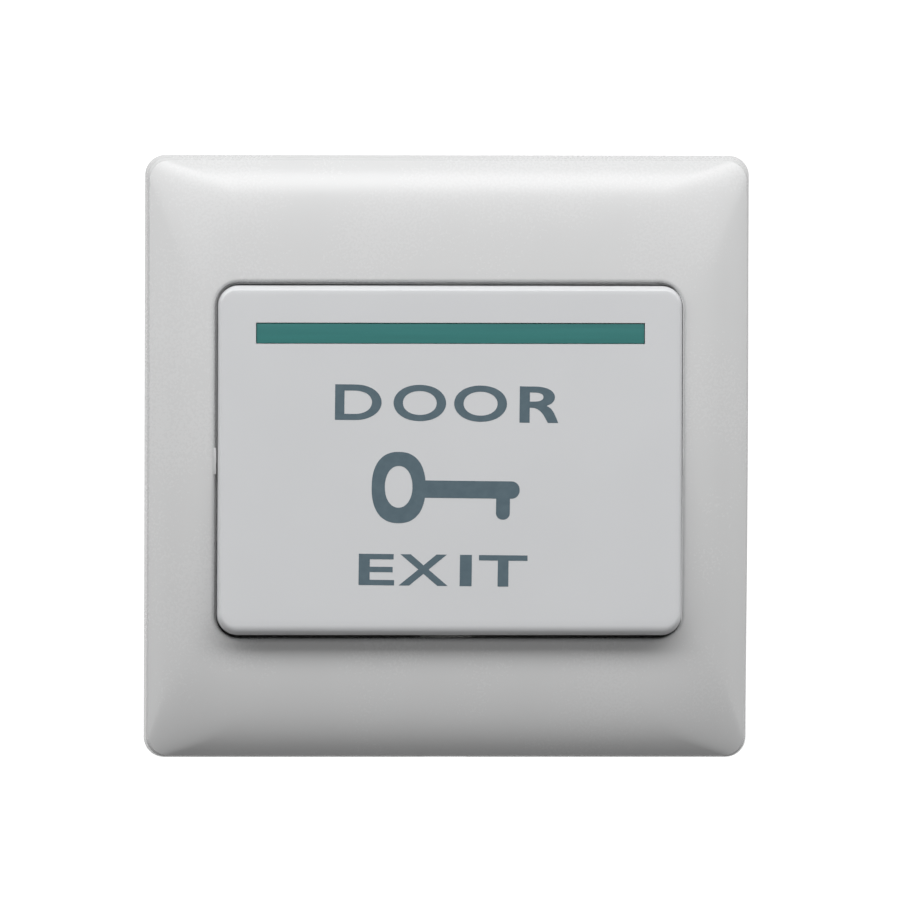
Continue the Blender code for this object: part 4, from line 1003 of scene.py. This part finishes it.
def letter(character, left, right, top, foot):
    """One capital, filled out to its box on the pressed plate's face."""
    start_clean()
    bpy.ops.object.text_add()
    typed = bpy.context.object
    typed.data.body = character
    typed.data.resolution_u = 16
    typed.data.extrude = 0.01
    typed.data.offset = 0.018
    bpy.ops.object.convert(target="MESH")
    typed = bpy.context.object
    corners = [Vector(corner) for corner in typed.bound_box]
    low = Vector([min(c[i] for c in corners) for i in range(3)])
    high = Vector([max(c[i] for c in corners) for i in range(3)])
    scale_z = (top - foot) / (high.y - low.y)
    scale_y = INK / (high.z - low.z)
    for vertex in typed.data.vertices:
        across = (vertex.co.x - low.x) / (high.x - low.x)
        if character == "R":
            across = bolder_r(across, (vertex.co.y - low.y) / (high.y - low.y))
        x = left + across * (right - left)
        z = foot + (vertex.co.y - low.y) * scale_z
        y = FACE - (vertex.co.z - low.z) * scale_y
        vertex.co = (x, y, z)
    close_normals(typed, 1e-8)
    return typed


WORDS = {
    "word_door": [
        ("D", -16.5, -9.9, 10.65, 5.6), ("O", -8.2, -0.75, 10.7, 5.55),
        ("O", 0.4, 7.9, 10.7, 5.55), ("R", 9.7, 15.2, 10.65, 5.5),
    ],
    "word_exit": [
        ("E", -12.85, -7.8, -13.35, -17.8), ("X", -7.15, -0.2, -13.35, -17.8),
        ("I", 1.5, 3.2, -13.35, -17.8), ("T", 4.2, 11.1, -13.35, -17.8),
    ],
}


def turn_print(piece):
    make_active(piece)
    middle = Vector((0, FACE, -4 * MM))
    turn = Matrix.Rotation(-PRINT_TURN, 4, "Y")
    piece.matrix_world = Matrix.Translation(middle) @ turn @ Matrix.Translation(-middle)
    apply_place()


for word, letters in WORDS.items():
    typed = join(word, [letter(c, *(v * MM for v in place)) for c, *place in letters])
    turn_print(typed)
    lean_out(typed)
    hand_over(typed, "push_plate_body", [], "plate_abs", ink)

# %% [markdown]
# ## The key
#
# Between the words stands a plain key that lies on its side: an oval bow with an oval hole, a
# rounded shaft and one bit. Two circles, drawn out to slightly squarish ovals and bridged to each
# other, make the bow. Two rounded outlines make the shaft and the bit, and Booleans melt them
# into one flat shape.


# %% Key
def fuller(part, fullness):
    """Pushes a circle's point outwards: 2 keeps the circle, more makes it squarish."""
    return math.copysign(abs(part) ** (2 / fullness), part)


def disc_ring(*ovals):
    """A flat ring from two ovals: a centre and two half sizes in mm, and a fullness each."""
    loops = []
    for centre_x, centre_z, half_x, half_z, fullness in ovals:
        start_clean()
        bpy.ops.mesh.primitive_circle_add(vertices=96, radius=1, rotation=(math.radians(90), 0, 0))
        apply_place()
        loop = bpy.context.object
        for vertex in loop.data.vertices:
            x = centre_x + half_x * fuller(vertex.co.x, fullness)
            z = centre_z + half_z * fuller(vertex.co.z, fullness)
            vertex.co = (x * MM, FACE, z * MM)
        loops.append(loop)
    ring = join("bow", loops)
    edit_all(ring)
    bpy.ops.mesh.bridge_edge_loops()
    return ring


def thicken(flat):
    """Draws a flat shape on the face out to the thickness of the ink."""
    edit_all(flat)
    bpy.ops.mesh.extrude_region_move(TRANSFORM_OT_translate={"value": (0, -INK, 0)})
    leave_edit()
    close_normals(flat, 1e-8)
    return flat


def rounded_bar(*sizes):
    """A bar from its left, right, top, foot and corner, all in millimetres."""
    left, right, top, foot, corner = (size * MM for size in sizes)
    half_x, half_z = (right - left) / 2, (top - foot) / 2
    bar = outline(half_x, half_z, corner, lambda z: FACE, (top + foot) / 2, 12)
    fill(bar)
    bpy.ops.transform.translate(value=((left + right) / 2, 0, 0))
    return thicken(bar)


bow = thicken(disc_ring((-7.33, -3.9, 3.83, 5.06, 2.35), (-7.33, -3.8, 1.96, 2.96, 2.1)))
shaft = rounded_bar(-4.8, 9.85, -2.85, -5.32, 1.15)
bit = rounded_bar(6.53, 8.5, -3.6, -8.3, 0.92)
combine(bow, shaft, "UNION")
combine(bow, bit, "UNION")
bow.name = bow.data.name = "key_mark"
turn_print(bow)
lean_out(bow)
hand_over(bow, "push_plate_body", [], "plate_abs", ink)

# %% [markdown]
# ## Mouldings and pressed parts that keep the engineer's shape
#
# The mounting plate, the switch block, the terminals and the clamp plates already have every
# boss, slot and bend. They only look too sharp, because no real edge is a perfect line. A copy
# of each has its loose triangles merged into whole faces, and then a narrow bevel on every edge.


# %% Softened copies
def softened_copy(name, node_name, width):
    start_clean()
    piece = new_object(name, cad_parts[node_name].data.copy())
    piece.data.name = name
    edit_all(piece)
    bpy.ops.mesh.customdata_custom_splitnormals_clear()
    bpy.ops.mesh.remove_doubles(threshold=1e-6)
    bpy.ops.mesh.select_all(action="SELECT")
    bpy.ops.mesh.dissolve_limited(angle_limit=math.radians(0.5))
    leave_edit()
    if width:
        soften(piece, width)
    smooth(piece)
    apply_modifier(piece, "WEIGHTED_NORMAL", keep_sharp=True, weight=100)
    return piece


SOFTENED = [
    ("carrier_moulding", "mounting_plate", 0.15, "base", "chassis", chassis_white),
    ("switch_block", "switch_housing", 0.12, "base", "block", switch_ivory),
    ("terminal_strip_com", "terminal_com", 0.08, "base", "brass", rolled_brass),
    ("terminal_strip_no", "terminal_no", 0.08, "base", "brass", rolled_brass),
    ("clamp_square_com", "clamp_plate_com", 0.08, "base", "steel", plated_steel),
    ("clamp_square_no", "clamp_plate_no", 0.08, "base", "steel", plated_steel),
    ("bridge_bar", "contact_bridge", 0.06, "plunger_body", "brass", rolled_brass),
]
for name, node_name, width, body, slot, finish in SOFTENED:
    hand_over(softened_copy(name, node_name, width * MM), body, [node_name], slot, finish)

# %% [markdown]
# ## Springs
#
# A spring's wire is round and smooth, and its end turns lie flat. The engineer's spring has a
# wire of six sides, so a copy is fattened a little and rounded by a subdivision surface, which
# takes that bit away again. A spring can't follow one body, as it is held between two, but here
# each rides on one body only.


# %% Round springs
def round_spring(name, node_name, body, wire):
    piece = softened_copy(name, node_name, 0)
    edit_all(piece)
    bpy.ops.transform.shrink_fatten(value=0.07 * wire)
    leave_edit()
    apply_modifier(piece, "SUBSURF", levels=1, render_levels=1)
    smooth(piece, 60)
    hand_over(piece, body, [node_name], "steel", plated_steel)
    return piece


for side in ("left", "right"):
    spring = round_spring(f"return_coil_{side}", f"plate_spring_{side}", "base", 0.5 * MM)
    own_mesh(spring)
plunger_coil = round_spring("plunger_coil", "return_spring", "base", 0.35 * MM)
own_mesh(plunger_coil)
round_spring("contact_coil", "contact_spring", "plunger_body", 0.3 * MM)

# %% [markdown]
# ## Turned parts
#
# The plunger and the contacts are turned shapes: a half section is drawn as a line of points
# and spun once round its axis. Short slopes between the points stand for the rounds that a real
# turned or moulded edge has.


# %% Plunger and contacts
def plunger_section():
    low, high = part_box("plunger")
    crown = low.y
    section = []
    for step in range(11):
        turn = math.radians(4 + 86 * step / 10)
        section.append((2.5 * MM * math.sin(turn), crown + 0.9 * MM * (1 - math.cos(turn))))
    section += in_mm(
        (2.5, 0.3), (3.7, 0.3), (3.8, 0.4), (3.8, 1.2), (3.7, 1.3), (1.2, 1.3), (1.2, 4.3),
        (1.82, 4.3), (1.9, 4.38), (1.9, 5.0), (1.8, 5.1), (0.75, 5.1),
    )
    return section + [(0.75 * MM, high.y - 0.15 * MM), (0.6 * MM, high.y)]


plunger = spun(plunger_section(), 0, BOSS_Z)
smooth(plunger)
plunger.name = plunger.data.name = "plunger_pin"
hand_over(plunger, "plunger_body", ["plunger"], "acetal", plunger_cream)


def rivet(name, node_name, head, face, shank, body):
    """A contact with a low domed face. head, face and shank are its depths along Y."""
    low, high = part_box(node_name)
    centre = (low + high) / 2
    toward = 1 if face > head else -1
    section = [(0.55 * MM, shank), (0.7 * MM, shank + toward * 0.12 * MM), (0.7 * MM, head)]
    section += [(1.36 * MM, head), (1.4 * MM, head + toward * 0.04 * MM)]
    for turn in quarter_turn(6):
        radius = 0.9 * MM + 0.5 * MM * math.cos(turn)
        section.append((radius, face - toward * 0.3 * MM * (1 - math.sin(turn))))
    piece = spun(section, centre.x, centre.z, 40)
    smooth(piece)
    piece.name = piece.data.name = name
    hand_over(piece, body, [node_name], "contact", silver)


for label in ("com", "no"):
    node_name = f"moving_contact_{label}"
    low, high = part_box(node_name)
    head = high.y - 0.5 * MM
    rivet(f"moving_rivet_{label}", node_name, head, high.y, low.y, "plunger_body")
    node_name = f"fixed_contact_{label}"
    low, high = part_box(node_name)
    head = low.y + 0.5 * MM
    rivet(f"fixed_rivet_{label}", node_name, head, low.y, high.y, "base")

# %% [markdown]
# ## Screws
#
# A pan head with a driver slot, a plain neck and a cut thread make a screw. The head and core are
# spun, the slot is cut, and the thread is a small wedge that the Screw modifier winds down the
# shank. One screw of each kind would do, but each sits in its own place with its own mesh.


# %% Thread and screw
THREAD_DEPTH = 0.22 * MM
THREAD_PITCH = 0.5 * MM
SHANK_PLAY = 0.02 * MM
SLOT_HALF = 0.35 * MM
SLOT_DEPTH = 0.8 * MM


def thread(radius, start, end, pitch, centre_x, centre_z):
    """A wedge wound down the shank between two depths."""
    root, crest = radius - THREAD_DEPTH, radius - SHANK_PLAY
    length = abs(end - start) - pitch
    toward = 1 if end > start else -1
    points = [(root, 0.0), (crest, 0.32), (crest, 0.42), (root, 0.74)]
    wedge = line([(place, toward * turns * pitch, 0) for place, turns in points])
    apply_modifier(
        wedge, "SCREW", axis="Y", angle=math.radians(360), screw_offset=toward * pitch,
        iterations=max(1, round(length / pitch)), steps=24, render_steps=24,
        use_merge_vertices=False,
    )
    make_active(wedge)
    wedge.location = (centre_x, start, centre_z)
    apply_place()
    close_normals(wedge, 1e-8)
    return wedge


def screw(name, node_name, sizes, seat, toward):
    """A screw from its shank's radius, its head's radius and thickness, in millimetres."""
    shank, head, thickness = (size * MM for size in sizes)
    low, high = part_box(node_name)
    centre_x, centre_z = (low.x + high.x) / 2, (low.z + high.z) / 2
    tip = low.y if toward > 0 else high.y
    core, neck, neck_start = shank - THREAD_DEPTH, shank - SHANK_PLAY, seat - toward * 0.6 * MM
    section = [(core * 0.5, tip), (core, tip + toward * 0.5 * MM)]
    section += [(core, seat - toward * 0.8 * MM), (neck, neck_start), (neck, seat)]
    section.append((head - 0.08 * MM, seat))
    section += [(head, seat + toward * 0.08 * MM), (head, seat + toward * thickness * 0.5)]
    for turn in quarter_turn(8)[1:]:
        radius = head * (0.5 + 0.5 * math.cos(turn))
        section.append((radius, seat + toward * thickness * (0.5 + 0.5 * math.sin(turn))))
    body = spun(section, centre_x, centre_z, 48)
    top = seat + toward * thickness
    driver_slot = block(
        (centre_x - 2 * head, top + toward * MM, centre_z - SLOT_HALF),
        (centre_x + 2 * head, top - toward * SLOT_DEPTH, centre_z + SLOT_HALF),
    )
    combine(body, driver_slot, "DIFFERENCE")
    start = tip + toward * 0.4 * MM
    winding = thread(shank, start, neck_start, THREAD_PITCH, centre_x, centre_z)
    smooth(body)
    smooth(winding, 20)
    piece = join(name, [body, winding])
    hand_over(piece, "base", [node_name], "steel", plated_steel)


for end in ("top", "bottom"):
    screw(f"block_screw_{end}", f"housing_screw_{end}", (1.1, 2.2, 1.4), -2.3 * MM, -1)
for label in ("com", "no"):
    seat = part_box(f"terminal_screw_{label}")[1].y - 1.6 * MM
    screw(f"wire_screw_{label}", f"terminal_screw_{label}", (1.3, 2.6, 1.6), seat, 1)

# %% [markdown]
# ## Floor, light and camera
#
# The photograph shows the button on plain white, lit from high in front. A wide key softbox
# gives that light and the shadow below the button, and a weaker one above it widens the
# highlight. A weak lamp on each side opens the shadows, and one behind keeps the rim from
# going dark. The floor lies well below, pale, and shows white to the camera. Its own light near
# the button is kept low, so that the button's shadow still falls on it.

# %% Floor and world
FLOOR_Z = -0.45
FLOOR_GREY = 0.14
WORLD_LIGHT = 0.195
SEEN_IN_GLOSS = 0.8


def white_to_the_eye(tree):
    """1 for rays from the camera or through glass, a little less in a gloss, else 0."""
    path = node(tree, "ShaderNodeLightPath")
    gloss = maths(tree, "MULTIPLY", path.outputs["Is Glossy Ray"], SEEN_IN_GLOSS)
    seen = maths(tree, "ADD", path.outputs["Is Camera Ray"], gloss)
    seen = maths(tree, "ADD", seen, path.outputs["Is Transmission Ray"])
    return maths(tree, "MINIMUM", seen, 1.0)


def make_floor():
    start_clean()
    bpy.ops.mesh.primitive_plane_add(size=60, location=(0, 0, FLOOR_Z))
    floor = bpy.context.object
    floor.name = "floor"
    material, tree, shader = new_finish("floor_pale")
    away = node(tree, "ShaderNodeVectorMath", {0: own_place(tree)}, operation="LENGTH")
    glow = ramp(tree, away.outputs["Value"], 0.4, 1.4, 0.5, 1.0)
    inputs = {"Base Color": (FLOOR_GREY, FLOOR_GREY, FLOOR_GREY, 1), "Roughness": 0.9}
    inputs["Emission Color"] = (1, 1, 1, 1)
    inputs["Emission Strength"] = maths(tree, "MULTIPLY", glow, white_to_the_eye(tree))
    connect(tree, shader, inputs)
    floor.data.materials.append(material)


def make_world():
    world = bpy.data.worlds.new("studio")
    bpy.context.scene.world = world
    world.use_nodes = True
    tree = world.node_tree
    strength = ramp(tree, white_to_the_eye(tree), 0.0, 1.0, WORLD_LIGHT, 1.0)
    connect(tree, tree.nodes["Background"], {"Color": (1, 1, 1, 1), "Strength": strength})


make_floor()
make_world()


# %% Lamps and camera
def softbox(name, place, width, height, power):
    """A lamp turned to the button, with its sizes in metres and its power in watts."""
    lamp = bpy.data.lights.new(name, "AREA")
    lamp.shape = "RECTANGLE"
    lamp.size, lamp.size_y = width, height
    lamp.energy = power
    holder = new_object(name, lamp)
    holder.location = place
    holder.rotation_euler = (-holder.location).to_track_quat("-Z", "Y").to_euler()
    return holder


softbox("key_softbox", (-0.04, -0.64, 0.768), 3.0, 0.34, 17.8)
softbox("top_softbox", (0.0, -0.5, 0.87), 1.6, 0.5, 1.2)
softbox("fill_left", (-0.9, -0.35, 0.05), 0.5, 0.9, 1.4)
softbox("fill_right", (0.9, -0.35, 0.05), 0.5, 0.9, 1.1)
back_lamp = softbox("back_softbox", (0.0, 0.9, 0.1), 0.9, 0.8, 7.5)
# The rim mirrors at a grazing angle what stands behind it, so this lamp stays out of its gloss.
back_lamp.visible_glossy = False


def make_camera():
    """The camera stands 2 m off, a little left and above, with its picture slightly turned."""
    data = bpy.data.cameras.new("camera")
    data.lens = 556.4
    data.sensor_width = 36.0
    data.clip_start, data.clip_end = 0.1, 100.0
    camera = new_object("camera", data)
    side, up = math.radians(-2.6), math.radians(4.5)
    away = Vector((math.sin(side) * math.cos(up), -math.cos(side) * math.cos(up), math.sin(up)))
    turn = (-away).to_track_quat("-Z", "Y") @ Euler((0, 0, math.radians(0.25))).to_quaternion()
    aim = Vector((0, -4.5 * MM, 0)) + turn @ Vector((1.06 * MM, 0.58 * MM, 0))
    camera.rotation_mode = "QUATERNION"
    camera.rotation_quaternion = turn
    camera.location = aim + away * 2.0
    bpy.context.scene.camera = camera
    bpy.context.scene.view_settings.view_transform = "Standard"


make_camera()
